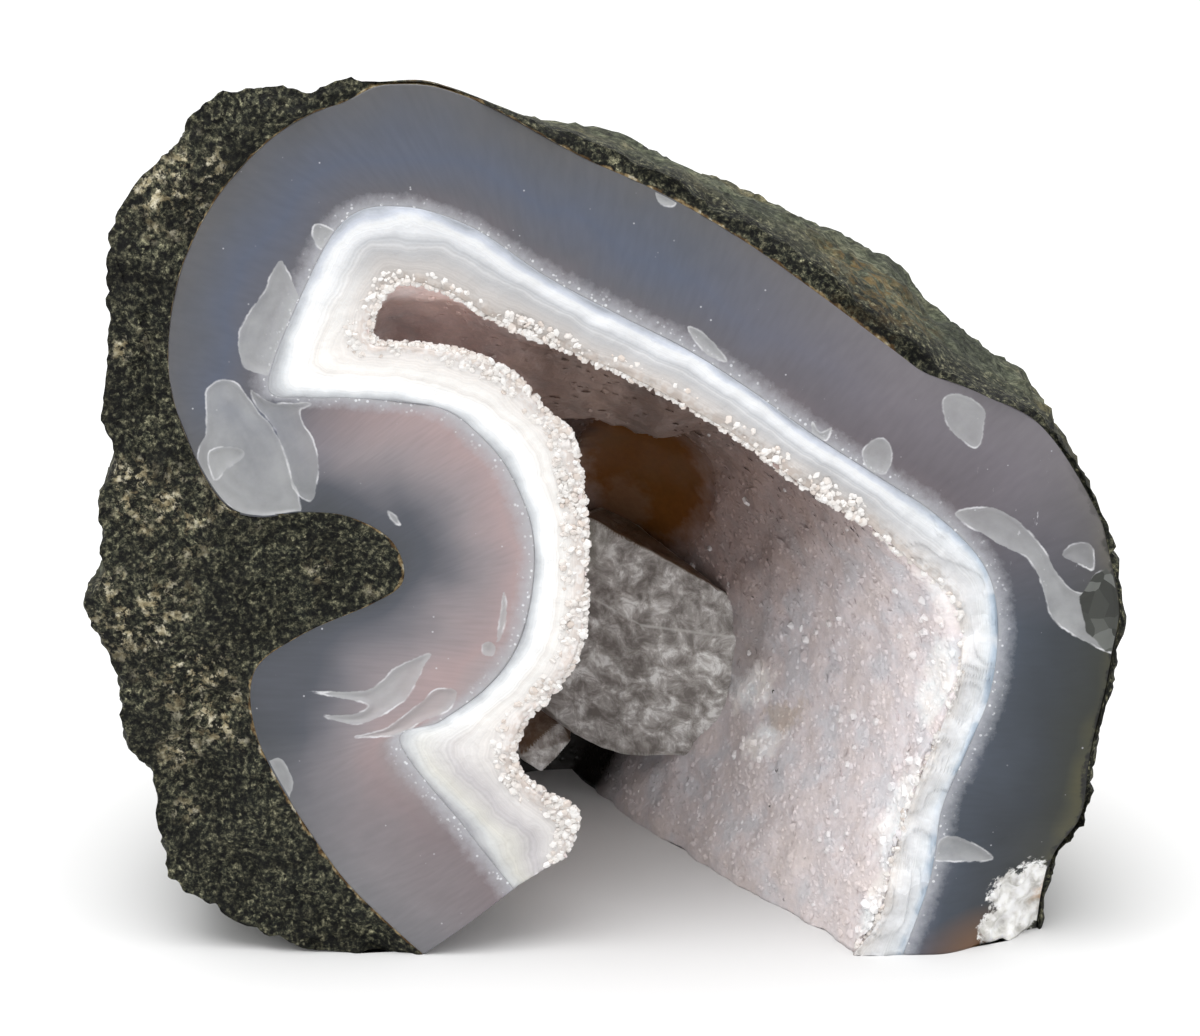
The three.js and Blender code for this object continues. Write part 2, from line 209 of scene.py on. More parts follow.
def agate_edge(station, v):
    """The agate's outside. At the top and on the right of the broken edge the basalt has
    flaked off to a thin skin, so there the agate reaches most of the way to its outside."""
    at_top = smooth((station - 18.2) / 0.6) * smooth((20.6 - station) / 1.2)
    at_right = smooth((station - 24.4) / 0.8)
    share = 0.85 * np.maximum(at_top, at_right) * smooth((0.1 - v) / 0.1)
    share = np.asarray(share)[..., None]
    return agate_side(station, v) * (1 - share) + basalt_side(station, v) * share


def outward(side, station, v):
    """The direction out of the stone: the step along the arch crossed with the step inwards."""
    small = 0.01
    station, v = np.broadcast_arrays(np.asarray(station, float), np.asarray(v, float))
    here = np.clip(station, small, LAST_STATION - small)
    deep = np.clip(v, small, 1 - small)
    along = side(here + small, deep) - side(here - small, deep)
    inwards = side(here, deep + small) - side(here, deep - small)
    normal = np.cross(along, inwards)
    normal[..., 2] = np.where(side(station, v)[..., 2] < small, 0, normal[..., 2])
    normal[v == 1] = (0, 1, 0)
    return normal / np.linalg.norm(normal, axis=-1, keepdims=True)


print("deepest point of the hollow, mm:", hollow_side(20, 1.0).round(1))

# %% [markdown]
# ## Closed shells
# A mineral is the room between two boundaries. One slice of it runs from the pole of the
# outer boundary to the broken face, over the face, and back along the inner boundary to its
# pole. Slices side by side make a grid, and only the two footprints, where the arch ends on
# the ground, stay open. Blender could fill those with one big polygon, but the left one is
# not flat, so we zip the two edges of each together with triangles instead.

# %% Grids to meshes
def zipped(first, second):
    """Triangles between two rows of points, each step taken on the row that is behind."""
    lag = np.concatenate([np.linspace(0, 1, len(row))[1:] for row in (first, second)])
    turn = np.argsort(lag, kind="stable")
    on_first = turn < len(first) - 1
    i = np.cumsum(on_first) - on_first
    j = np.cumsum(~on_first) - ~on_first
    next_first = first[np.minimum(i + 1, len(first) - 1)]
    next_second = second[np.minimum(j + 1, len(second) - 1)]
    ahead = np.where(on_first, next_first, next_second)
    return np.stack([first[i], ahead, second[j]], 1)


def mesh_object(name, points, faces, values, smooth_shaded=True):
    """A mesh in metres from points in millimetres, with a number on each point for each name."""
    mesh = bpy.data.meshes.new(name)
    mesh.from_pydata(((points - CENTRE) * MM).tolist(), [], faces)
    for label, numbers in values.items():
        layer = mesh.attributes.new(label, "FLOAT", "POINT")
        layer.data.foreach_set("value", np.ascontiguousarray(numbers, np.float32).ravel())
    mesh.polygons.foreach_set("use_smooth", np.full(len(mesh.polygons), smooth_shaded))
    mesh.update()
    piece = bpy.data.objects.new(name, mesh)
    bpy.context.collection.objects.link(piece)
    return piece


def joined_object(name, points, quads, triangles, values):
    """A mesh of those faces, with only the points and the numbers that they use."""
    corners = np.concatenate([quads.ravel(), triangles.ravel()])
    used, packed = np.unique(corners, return_inverse=True)
    faces = packed[: quads.size].reshape(-1, 4).tolist()
    faces += packed[quads.size :].reshape(-1, 3).tolist()
    picked = {}
    for label, numbers in values.items():
        picked[label] = np.broadcast_to(numbers, points.shape[:2]).reshape(-1)[used]
    print(f"{name}: {len(used)} points, {len(faces)} faces")
    return mesh_object(name, points.reshape(-1, 3)[used], faces, picked)


def shell_object(name, outer, strip, inner, values):
    """The closed surface through all slices: outer rows, rows over the face, inner rows. The
    first and the last point of each slice are the poles."""
    slices = np.concatenate([outer, strip, inner], 1)
    stations, rows = slices.shape[:2]
    index = np.arange(stations * rows).reshape(stations, rows)
    index[:, 0], index[:, -1] = index[0, 0], index[0, -1]
    a, b, c, d = index[:-1, :-1], index[:-1, 1:], index[1:, 1:], index[1:, :-1]
    quads = np.stack([a, b, c, d], -1)[:, 1:-1].reshape(-1, 4)
    first_fan = np.stack([a, b, c], -1)[:, 0]
    last_fan = np.stack([a, b, d], -1)[:, -1]
    middle = outer.shape[1] + strip.shape[1] // 2
    feet = []
    for foot, turned in ((index[0], False), (index[-1], True)):
        zips = zipped(foot[middle::-1], foot[middle:])
        zips = zips[(zips[:, 0] != zips[:, 2]) & (zips[:, 1] != zips[:, 2])]
        feet.append(zips[:, ::-1] if turned else zips)
    triangles = np.concatenate([first_fan, last_fan, *feet])
    return joined_object(name, slices, quads, triangles, values)


print("a zip of 3 and 4 points:", zipped(np.arange(3), np.arange(10, 14)).tolist())

# %% [markdown]
# ## Unevenness that repeats each run
# Rough stone needs noise in the mesh itself, and not only in the material, so that the
# silhouette and the shadows have it too. Blender has noise functions, but they take one
# point at a time. Random values on a lattice, blended smoothly between its corners, do the
# same for a whole array of points at once.

# %% Lattice noise
# Steps that share no measure, so that the sine of their sum looks random
CORNER_STEPS = (127.1, 311.7, 74.7)
SEED_STEP = 53.7
SCATTER = 43758.5453


def lattice_noise(points, size, seed=0.0):
    """Smoothly blended random values at the corners of cubes of the given size, -1 to 1."""
    scaled = points / size
    corner = np.floor(scaled)
    t = scaled - corner
    t = t * t * (3 - 2 * t)
    total = np.zeros(points.shape[:-1])
    for k in range(8):
        step = np.array([k & 1, (k >> 1) & 1, (k >> 2) & 1])
        wild = np.sin((corner + step) @ CORNER_STEPS + seed * SEED_STEP) * SCATTER
        weight = np.prod(np.where(step, t, 1 - t), axis=-1)
        total += weight * (2 * (wild - np.floor(wild)) - 1)
    return total


def rough(points, size, octaves, seed=0.0):
    """Lattice noise in several sizes, each half the size and height of the one before."""
    return sum(lattice_noise(points, size / 2**k, seed + k) / 2**k for k in range(octaves))


test_points = np.random.default_rng(1).uniform(-50, 50, (1000, 3))
print("noise has a mean of", rough(test_points, 6, 4).mean().round(3))

# %% [markdown]
# ## The camera and the light
# The photograph was taken from a little above with a long lens, in soft light, on white.
# The camera looks at the middle of the stone from 20 degrees up. A bright sky gives the soft
# light from all round, and one large lamp above gives the shadow a direction.

# %% Camera, floor and light
AIM = np.array([0, 0, 45.7])
CAMERA_DISTANCE = 480
CAMERA_RISE = np.radians(20)
FOCAL_WIDTHS = 4.172
EYE = AIM + CAMERA_DISTANCE * np.array([0, -np.cos(CAMERA_RISE), np.sin(CAMERA_RISE)])
FLOOR_SIDE = 6
FLOOR_COLOUR = (0.68, 0.68, 0.68, 1)
LAMP_PLACE = (-0.1, -0.15, 0.85)
LAMP_AIM = (0, 0, 0.045)
SKY_STRENGTH = 1.12


def add_camera():
    """A camera at the photograph's angle: distance along the view line, rise over the floor."""
    data = bpy.data.cameras.new("camera")
    data.lens = FOCAL_WIDTHS * data.sensor_width
    camera = bpy.data.objects.new("camera", data)
    bpy.context.collection.objects.link(camera)
    camera.location = Vector((EYE - CENTRE) * MM)
    camera.rotation_euler = (np.pi / 2 - CAMERA_RISE, 0, 0)
    bpy.context.scene.camera = camera
    return camera


def add_floor():
    """A plain square far larger than the view."""
    bpy.ops.mesh.primitive_plane_add(size=FLOOR_SIDE)
    floor = bpy.context.object
    floor.name = "floor"
    material = bpy.data.materials.new("white_card")
    material.use_nodes = True
    shader = material.node_tree.nodes["Principled BSDF"]
    shader.inputs["Base Color"].default_value = FLOOR_COLOUR
    shader.inputs["Roughness"].default_value = 0.9
    shader.inputs["Specular IOR Level"].default_value = 0.1
    floor.data.materials.append(material)
    floor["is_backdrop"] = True


def add_lamp(name, place, size, watts):
    """A square lamp that faces the middle of the stone."""
    data = bpy.data.lights.new(name, "AREA")
    data.size = size
    data.energy = watts
    lamp = bpy.data.objects.new(name, data)
    bpy.context.collection.objects.link(lamp)
    lamp.location = place
    towards = Vector(LAMP_AIM) - Vector(place)
    lamp.rotation_euler = towards.to_track_quat("-Z", "Y").to_euler()


camera = add_camera()
add_floor()
add_lamp("window", LAMP_PLACE, size=0.8, watts=8.0)
world = bpy.data.worlds.new("studio")
bpy.context.scene.world = world
world.use_nodes = True
sky = world.node_tree.nodes["Background"]
sky.inputs["Color"].default_value = (1, 1, 1, 1)
sky.inputs["Strength"].default_value = SKY_STRENGTH
bpy.context.scene.view_settings.view_transform = "Standard"
print("camera stands", np.round(camera.location, 3), "m, lens", round(camera.data.lens, 1))

# %% [markdown]
# ## A short way to write materials
# Every finish is a node tree. Writing each node and link out takes many lines, so a small
# helper makes a node, sets its plain values and links whatever sockets it is given.

# %% Node helper
class Finish:
    """A material with helpers that add a node and hand back its first output."""

    def __init__(self, name):
        self.material = bpy.data.materials.new(name)
        self.material.use_nodes = True
        self.tree = self.material.node_tree
        self.shader = self.tree.nodes["Principled BSDF"]

    def node(self, kind, out=0, settings=None, **sockets):
        """A node of that kind; settings are its own properties, the rest are its inputs."""
        made = self.tree.nodes.new("ShaderNode" + kind)
        for key, value in (settings or {}).items():
            setattr(made, key, value)
        for key, value in sockets.items():
            place = int(key[1:]) if key[0] == "i" and key[1:].isdigit() else key.replace("_", " ")
            self.put(made.inputs[place], value)
        return made.outputs[out]

    def put(self, socket, value):
        """Links a socket to an output, or sets its plain value."""
        if isinstance(value, bpy.types.NodeSocket):
            self.tree.links.new(value, socket)
        else:
            short = np.ndim(value) and len(value) < len(socket.default_value)
            socket.default_value = (*value, 1) if short else value

    def value(self, label):
        """A number that the mesh carries on its points."""
        return self.node("Attribute", out=2, settings={"attribute_name": label})

    def place(self):
        """The point's own place on the object, in metres."""
        return self.node("TexCoord", out=3)

    def wobbled(self, size_mm, reach_mm):
        """The point's place, pushed about by noise, which makes round cells irregular."""
        scale = 1 / (size_mm * MM)
        push = self.node("TexNoise", out=1, Vector=self.place(), Scale=scale, Detail=2.0)
        centred = self.vectors("SUBTRACT", i0=push, i1=(0.5, 0.5, 0.5))
        reach = (2 * reach_mm * MM,) * 3
        return self.vectors("MULTIPLY_ADD", i0=centred, i1=reach, i2=self.place())

    def noise(self, size_mm, detail=3.0, roughness=0.55, distortion=0.0, stretch=(1, 1, 1)):
        """Noise with lumps of about that size."""
        where = self.node("Mapping", Vector=self.place(), Scale=stretch)
        return self.node(
            "TexNoise", Vector=where, Scale=1 / (size_mm * MM),
            Detail=detail, Roughness=roughness, Distortion=distortion,
        )

    def cells(self, size_mm, out=0, where=None):
        """Random cells of about that size: the distance from a cell's middle, or its colour."""
        where = where or self.place()
        return self.node("TexVoronoi", out=out, Vector=where, Scale=1 / (size_mm * MM))

    def span(self, value, low, high, to_low=0.0, to_high=1.0):
        """Carries one range of numbers to another, and holds them there."""
        return self.node("MapRange", Value=value, i1=low, i2=high, i3=to_low, i4=to_high)

    def patchy(self, size_mm, low, high, to_low=0.0, to_high=1.0, **kind):
        """Noise of that size, with its range from low to high carried to another."""
        return self.span(self.noise(size_mm, **kind), low, high, to_low, to_high)

    def past(self, station, start, end):
        """0 up to the one station and 1 from the other."""
        return self.span(station, start / LAST_STATION, end / LAST_STATION)

    def sums(self, operation, a, b):
        """One sum with two numbers."""
        return self.node("Math", settings={"operation": operation}, i0=a, i1=b)

    def times(self, first, *others):
        """The product of two or more numbers."""
        for other in others:
            first = self.sums("MULTIPLY", first, other)
        return first

    def vectors(self, operation, out=0, **sockets):
        """One sum with vectors."""
        return self.node("VectorMath", out=out, settings={"operation": operation}, **sockets)

    def mix(self, amount, a, b, blend="MIX"):
        """Two colours mixed."""
        settings = {"data_type": "RGBA", "blend_type": blend}
        return self.node("Mix", out=2, settings=settings, i0=amount, i6=a, i7=b)

    def tint(self, colour, by):
        """A colour multiplied by another, or by a number."""
        return self.mix(1.0, colour, by, "MULTIPLY")

    def ramp(self, value, *stops):
        """Colours at the given places between 0 and 1."""
        out = self.node("ValToRGB", Fac=value)
        elements = out.node.color_ramp.elements
        while len(elements) < len(stops):
            elements.new(0.5)
        for element, (place, colour) in zip(elements, stops):
            element.position = place
            element.color = (*colour, 1)
        return out

    def bump(self, height, distance_mm, strength=1.0, under=None):
        """A bump from a height, over another if one is given."""
        sockets = {"Height": height, "Distance": distance_mm * MM, "Strength": strength}
        if under is not None:
            sockets["Normal"] = under
        return self.node("Bump", **sockets)

    def dress(self, **sockets):
        """Sets or links the shader's own sockets, and hands back the material."""
        for key, value in sockets.items():
            self.put(self.shader.inputs[key.replace("_", " ")], value)
        return self.material


def finished(piece, material, node):
    """Puts the material on, hides the frame's solid that the piece stands for, if any, and hangs it
    under the root.
    """
    piece.data.materials.append(material)
    if node:
        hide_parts(node)
    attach(piece, "root")


print("the helper makes materials such as", Finish("trial").material.name)
bpy.data.materials.remove(bpy.data.materials["trial"])

# %% [markdown]
# ## The basalt
# The host rock is dark and fine-grained, with pale mineral specks in clusters. It is lumpy
# where it broke, and its old back has low lumps a centimetre across, with pits. Sculpting
# could give them too, but noise says how large and how high they are. We push the outer
# boundary and the broken strip in and out with it, the largest lumps first. The grains fade
# out where the basalt meets the agate, so that the joint stays closed.

# %% Basalt shape
STATIONS = np.linspace(0, LAST_STATION, 560)
OUTER_ROWS = np.linspace(1, 0, 90)
HIDDEN_ROWS = np.linspace(0, 1, 9)
OVERLAP = 0.03
FAR = 9.0
DEEPEST_PIT = -1.8
HIDDEN_ZEROS = np.zeros(len(HIDDEN_ROWS))


def moved(side, station, v, height):
    """The boundary, moved out of the stone by a height."""
    return side(station, v) + outward(side, station, v) * np.asarray(height)[..., None]


def across_face(outer_edge, inner_edge, count):
    """Rows of points on the broken face from the last outer to the first inner row, with
    how far across each one is, and its distance in mm from the inner edge."""
    w = np.linspace(0, 1, count + 2)[1:-1]
    share = w[None, :, None]
    rows = outer_edge[:, None] * (1 - share) + inner_edge[:, None] * share
    rows[..., 1] = face_relief(rows[..., 0], rows[..., 2])
    width = np.linalg.norm(outer_edge - inner_edge, axis=-1)[:, None]
    return rows, np.broadcast_to(w, rows.shape[:2]), (1 - w) * width


def along_rows(outer, face, inner):
    """One number for every point of the slices: outer rows, face rows, inner rows."""
    parts = (outer, face, inner)
    wide = [np.broadcast_to(part, (len(STATIONS), np.shape(part)[-1])) for part in parts]
    return np.concatenate(wide, 1)


def lumps(p):
    """The slow unevenness of the basalt, the same waves as in the solids."""
    x, y, z = p[..., 0], p[..., 1], p[..., 2]
    first = np.sin(x / 2.9 + 1.3 * np.sin(z / 4.1) + 0.7) * np.sin(z / 3.3 + y / 4.7)
    return 0.5 * first + 0.5 * np.sin(x / 5.1 - z / 6.3 + 2.1 * np.sin(y / 7.9))


def grain(points):
    """Pits and grains of the broken basalt, in millimetres."""
    pits = np.minimum(rough(points, 2.2, 2, 3.0), 0.15)
    return 0.5 * rough(points, 5.5, 2, 12.0) + 0.7 * pits + 0.35 * rough(points, 1.1, 2, 8.0)


u, v = np.meshgrid(STATIONS, OUTER_ROWS, indexing="ij")
plain = basalt_side(u, v)
skin = np.linalg.norm(plain - agate_edge(u, v), axis=-1)
calm = smooth(skin / 2.5)
above_ground = plain[..., 2]
off_pole = 1 - v**8
# The broken rim: slow lumps, grains and pits, and chips along the thin edge on the right
slow = 0.7 * lumps(plain) * smooth(v / 0.1) * (1 - v)
grainy = grain(plain) * smooth(above_ground / 1.5) * off_pole * calm
chipped = 0.7 * np.abs(rough(plain, 1.7, 3, 9.0)) * smooth(u - 25) * smooth((0.3 - v) / 0.2)
# The back: lumps of a centimetre, with pits of a few millimetres
swollen = rough(plain, 12, 3, 70.0) + 0.25
nodule = swollen * smooth((v - 0.04) / 0.2) * smooth(above_ground / 5) * off_pole
pits = np.minimum(rough(plain, 4, 2, 75.0), 0.2)
nodule += 0.6 * pits * smooth((v - 0.04) / 0.1) * smooth(above_ground / 3) * off_pole
height = np.maximum(slow + grainy + chipped + nodule, DEEPEST_PIT)
outer = moved(basalt_side, u, v, height)
inner = moved(agate_edge, *np.meshgrid(STATIONS, HIDDEN_ROWS, indexing="ij"), -OVERLAP)
strip, w, contact = across_face(outer[:, -1], inner[:, 0], count=46)
contact = contact + FAR * smooth(STATIONS - 24)[:, None]
hold = np.sin(np.pi * w) ** 0.5 * calm[:, -1:]
strip[..., 1] += 1.1 * lumps(strip) * np.sin(np.pi * w) + grain(strip) * hold
outer[:, :, 2] = np.maximum(outer[:, :, 2], 0)
values = {
    "contact": along_rows(0 * OUTER_ROWS + FAR, contact, HIDDEN_ZEROS),
    "back": along_rows(OUTER_ROWS, 0 * w, HIDDEN_ZEROS),
}
basalt = shell_object("basalt", outer, strip, inner, values)
print("basalt stands back up to", outer[..., 1].max().round(1), "mm")

# %% [markdown]
# The colour is nearly black with an olive cast. Specks of feldspar show as small light
# cells, and in some places they crowd together and turn the rock tan. Those places are
# balls round named spots, with ragged edges from noise. The contact with the agate is
# rusty, which the distance carried from the agate lets us paint. Behind the face the skin is
# weathered to a paler green-grey with ochre stains, by the depth that each point carries.

# %% Basalt finish
TAN_SPOTS = [
    (-41, 78, 4), (-38, 80.5, 3), (-45, 63, 2), (-41, 46, 4.5), (-34, 47, 2.5), (-45, 49, 3),
    (-44, 36, 5), (-40, 30, 4.5), (-37, 25, 3.5), (-41, 21, 2.2), (-40.5, 15, 1.8), (-46, 38, 3),
    (-27, 40, 1.6), (-22, 38, 1.4),
]
OCHRE_SPOT = (26, 8, 66)


def spot(finish, centre, radius_mm):
    """1 in the middle of a ball and 0 outside it, from the point's distance."""
    middle = tuple((np.array(centre) - CENTRE) * MM)
    away = finish.vectors("DISTANCE", out=1, i0=finish.place(), i1=middle)
    return finish.span(away, radius_mm * MM, 0.35 * radius_mm * MM)


def basalt_finish():
    """Olive-black rock with light specks, tan clusters, a rusty contact and a weathered back."""
    rock = Finish("olive_black_basalt")
    grains = rock.noise(0.55, detail=4, roughness=0.75)
    body = rock.ramp(
        grains, (0.38, (0.001, 0.001, 0.001)), (0.48, (0.008, 0.009, 0.006)),
        (0.58, (0.042, 0.041, 0.026)), (0.7, (0.15, 0.143, 0.092)),
    )
    slow = rock.patchy(4, 0.35, 0.65, 0.5, 1.6, detail=4, roughness=0.6)
    body = rock.tint(body, slow)
    crisp = rock.span(rock.cells(0.42, out=1, where=rock.wobbled(0.3, 0.12)), 0.15, 0.85, 0.18, 2.3)
    body = rock.tint(body, crisp)
    patches = None
    for x, z, radius in TAN_SPOTS:
        one = spot(rock, (x, 0, z), radius * 1.3)
        patches = one if patches is None else rock.sums("MAXIMUM", patches, one)
    ragged = rock.patchy(2.4, 0.45, 0.55, detail=5, roughness=0.65)
    blobs = rock.patchy(1.0, 0.49, 0.56, detail=5, roughness=0.7)
    tan = rock.times(patches, ragged, blobs)
    cream = rock.ramp(
        rock.noise(0.9), (0.35, (0.15, 0.12, 0.065)), (0.48, (0.36, 0.31, 0.19)),
        (0.64, (0.66, 0.61, 0.46)),
    )
    with_tan = rock.mix(rock.times(tan, 0.95), body, cream)
    stray = rock.span(rock.cells(1.1, where=rock.wobbled(0.5, 0.35)), 0.2, 0.1)
    rare = rock.patchy(2.2, 0.5, 0.6, detail=4)
    with_specks = rock.mix(rock.times(stray, rare, 0.6), with_tan, (0.25, 0.24, 0.16))
    speckle = rock.sums(
        "ADD", rock.noise(0.9, detail=5, roughness=0.72),
        rock.patchy(7, 0.35, 0.65, -0.06, 0.06, detail=4),
    )
    skin = rock.ramp(
        speckle, (0.38, (0.018, 0.02, 0.013)), (0.52, (0.06, 0.066, 0.045)),
        (0.66, (0.17, 0.172, 0.125)),
    )
    weather = rock.ramp(
        rock.noise(13, detail=6, roughness=0.62), (0.38, (0.5, 0.53, 0.5)),
        (0.47, (0.9, 0.95, 0.86)), (0.54, (1.1, 1.06, 0.96)), (0.64, (1.7, 1.4, 1.0)),
    )
    skin = rock.tint(skin, weather)
    # Small round holes on the back, painted as near-black spots: painted shade inside holes that
    # the mesh doesn't have.
    vesicle_shade = rock.span(rock.cells(3.4, where=rock.wobbled(1.2, 0.6)), 0.2, 0.12)
    some = rock.patchy(8, 0.48, 0.56, detail=2)
    skin = rock.mix(rock.times(vesicle_shade, some, 0.85), skin, (0.006, 0.006, 0.005))
    with_specks = rock.mix(rock.span(rock.value("back"), 0.01, 0.07, 0.0, 0.85), with_specks, skin)
    ochre = rock.times(spot(rock, OCHRE_SPOT, 9), rock.patchy(1.2, 0.45, 0.6))
    with_ochre = rock.mix(rock.times(ochre, 0.6), with_specks, (0.16, 0.1, 0.03))
    edge = rock.sums("ADD", rock.value("contact"), rock.patchy(1.2, 0.3, 0.7, -0.22, 0.25))
    rust = rock.span(edge, 0.28, 0.12)
    golden = rock.ramp(
        rock.noise(0.9, detail=3), (0.45, (0.1, 0.055, 0.02)), (0.6, (0.35, 0.26, 0.13)),
        (0.68, (0.6, 0.55, 0.42)),
    )
    with_rust = rock.mix(rock.times(rust, 0.7), with_ochre, golden)
    coarse = rock.bump(rock.noise(1.8, detail=4, roughness=0.65), 1.1, 0.9)
    relief = rock.bump(grains, 0.22, 0.9, under=coarse)
    return rock.dress(Base_Color=with_rust, Roughness=0.8, Specular_IOR_Level=0.22, Normal=relief)


finished(basalt, basalt_finish(), "basalt_matrix")
print("basalt finish has", len(basalt.data.materials[0].node_tree.nodes), "nodes")

# %% [markdown]
# ## The agate
# Agate breaks like glass: smooth and waxy, with flakes split off near the edges. Each flake
# leaves a shallow dish with thin bright rims. We draw each flake by a few corner points on
# the face, and work out the distance of every mesh point to that outline. The distance then
# shapes the dish and its ripples, and is carried to the material, which paints the rims.

# %% Flakes on the agate
# Outlines of x and z on the flat plane of the face, in millimetres
FLAKES = {
    "upper": (
        (-30.1, 71.5), (-29.4, 70.4), (-28.4, 67.6), (-28.8, 65.3), (-29.6, 62.3), (-31.1, 60.2),
        (-33.4, 60.7), (-34.2, 62.3), (-34.1, 64.3), (-33.2, 66.3), (-31.5, 68.6), (-31.1, 69.9),
    ),
    "lower": (
        (-37.2, 58.9), (-36, 59.6), (-34.5, 59.3), (-32.6, 56.6), (-31.2, 54.9), (-30.1, 52.3),
        (-29.4, 49.5), (-28.8, 47.9), (-29.1, 45.8), (-33.6, 45.6), (-35.6, 47), (-37.2, 48.4),
        (-38.4, 50.3), (-38.3, 52.6), (-37.5, 54.6), (-37.5, 57.7),
    ),
    "curved": (
        (-32.6, 56.9), (-31.2, 55.1), (-30.3, 52.8), (-29.6, 50.3), (-29.2, 48.4), (-27.7, 47.4),
        (-27.1, 49), (-26.9, 51.5), (-27.4, 53.6), (-28.3, 55.4), (-28.5, 56.6), (-27.6, 57.3),
        (-31.2, 57.4), (-33.2, 58.7),
    ),
    "small": (
        (-26.9, 74.9), (-26, 75), (-24.8, 74.1), (-25.4, 72.9), (-26.2, 72.6), (-27, 73.6),
    ),
    "shell": (
        (-37.4, 52.1), (-35.9, 52.8), (-34.2, 52.6), (-34, 51.8), (-35.4, 50.8), (-36.9, 49.5),
    ),
    "round": (
        (32.6, 57.4), (33.4, 58.2), (34.8, 58), (36.6, 56.6), (36.5, 54.7), (36.2, 53.1),
        (35.5, 52.9), (34.2, 53.8), (33, 55.3),
    ),
    "tooth": (
        (25.1, 52.6), (26.5, 53.8), (27.5, 53.4), (27.9, 52), (27.5, 50.5), (26.8, 50.2),
        (25.5, 50.7),
    ),
    "long": (
        (34, 46.2), (35.8, 46.7), (37.7, 46.7), (39.5, 45.8), (41.4, 44.1), (42.8, 42.3),
        (43.7, 40.5), (44.9, 38.9), (46.2, 38), (47.1, 38.3), (47.5, 39.6), (48.7, 40.4),
        (49.7, 39.1), (50.8, 36.4), (50.6, 32.2), (49.6, 31.8), (47.7, 32.6), (46.1, 33.5),
        (44.7, 34.4), (43.5, 35.8), (42.9, 37.6), (42.3, 39.6), (41.2, 41.5), (39.2, 42.6),
        (37, 43.9), (35.1, 45),
    ),
    "chip": (
        (44.4, 41.9), (45.4, 43), (47, 43), (47.5, 41.5), (47.3, 40.4), (45.9, 41.1),
    ),
    "spur": (
        (33.7, 12.3), (35.9, 12.1), (38.6, 10.3), (37.6, 9.8), (33.4, 9.8), (32.8, 10.6),
    ),
    "wing": (
        (-28.3, 27.8), (-23.1, 27.8), (-21.3, 28.8), (-19.6, 30.4), (-16.5, 31.7), (-17.2, 30.2),
        (-18.6, 27.3), (-20, 26.1), (-21, 25.4), (-23.5, 24.3), (-26.9, 25.2), (-23.8, 25.4),
        (-22.7, 26.5), (-27.6, 27.6),
    ),
    "feather": (
        (-23.9, 23), (-21, 23.8), (-19.4, 25), (-17.6, 26.5), (-15.8, 28), (-13.9, 27.8),
        (-14.8, 25.7), (-17.2, 24.7), (-19.4, 23.3), (-22.1, 23),
    ),
    "contact": (
        (-32.6, 20.1), (-31.2, 20.7), (-30.2, 19), (-30.1, 17.5), (-30.8, 16.3), (-32.2, 17.8),
    ),
    "splinter": (
        (8.4, 64.9), (9.8, 64.3), (11.4, 62.6), (12, 61.4), (10.4, 62), (9, 63.4),
    ),
    "arrow": (
        (20.2, 55.4), (21, 54.4), (22.1, 54.9), (21.6, 53.6), (20.4, 53.9),
    ),
    "bead": (
        (-11.4, 32.6), (-10.6, 33), (-10.1, 32.3), (-10.4, 31.5), (-11.2, 31.6),
    ),
    "streak": (
        (-9.3, 38.4), (-9, 36), (-9.6, 33.4), (-10, 33.2), (-9.6, 36),
    ),
    "fleck": (
        (-20.4, 46.4), (-19.6, 46), (-19.2, 45), (-19.9, 45.3),
    ),
    "crescent": (
        (5.2, 78.2), (6.4, 78.4), (7.3, 77.7), (6.8, 76.8), (5.6, 77.1),
    ),
}


def rounded(outline, per_corner=6):
    """The same outline with a smooth closed curve through its corners."""
    closed = np.array([outline[-1], *outline, outline[0], outline[1]])
    knots = np.column_stack([np.arange(-1, len(outline) + 2), closed])
    steps = np.linspace(0, len(outline), len(outline) * per_corner, endpoint=False)
    return curve_through(knots, steps)


def distance_to(outline, x, z):
    """Distance from each point to a closed outline, negative inside it."""
    a = outline
    b = np.roll(outline, -1, axis=0)
    p = np.stack([x, z], -1)[..., None, :]
    run = b - a
    t = np.clip(((p - a) * run).sum(-1) / (run**2).sum(-1), 0, 1)
    gap = np.linalg.norm(p - a - t[..., None] * run, axis=-1).min(-1)
    crosses = (a[:, 1] > z[..., None]) != (b[:, 1] > z[..., None])
    rise = np.where(run[:, 1] == 0, 1e-9, run[:, 1])
    at_x = a[:, 0] + (z[..., None] - a[:, 1]) / rise * run[:, 0]
    inside = (crosses & (x[..., None] < at_x)).sum(-1) % 2 == 1
    return np.where(inside, -gap, gap)


SECOND_LAYER = ("curved", "shell", "feather", "chip")


def as_seen(points):
    """Where the camera's ray to each point crosses the flat plane of the face. The outlines
    are drawn on that plane, and the broken face falls behind it, most at the right foot."""
    ray = points - EYE
    on_plane = EYE - ray * (EYE[1] / ray[..., 1:2])
    return on_plane[..., 0], on_plane[..., 2]


def away_from(shape, x, z, near):
    """The signed distance to that outline for the points that are near, and FAR for others."""
    away = np.full(x.shape, FAR)
    away[near] = distance_to(shape, x[near], z[near])
    return away


def nearest_flake(x, z, names):
    """The least of the signed distances to those flakes, in mm, and no more than FAR."""
    least = np.full(x.shape, FAR)
    for name in names:
        shape = rounded(FLAKES[name])
        (left, low), (right, high) = shape.min(0) - 2, shape.max(0) + 2
        near = (x > left) & (x < right) & (z > low) & (z < high)
        least = np.minimum(least, away_from(shape, x, z, near))
    return least


def dished(away):
    """Depth of a flake's scar: it falls within half a millimetre of the rim, then ripples."""
    return 0.3 * smooth(-away / 0.6) + 0.03 * np.sin(away * 5) * smooth(-away / 0.8)


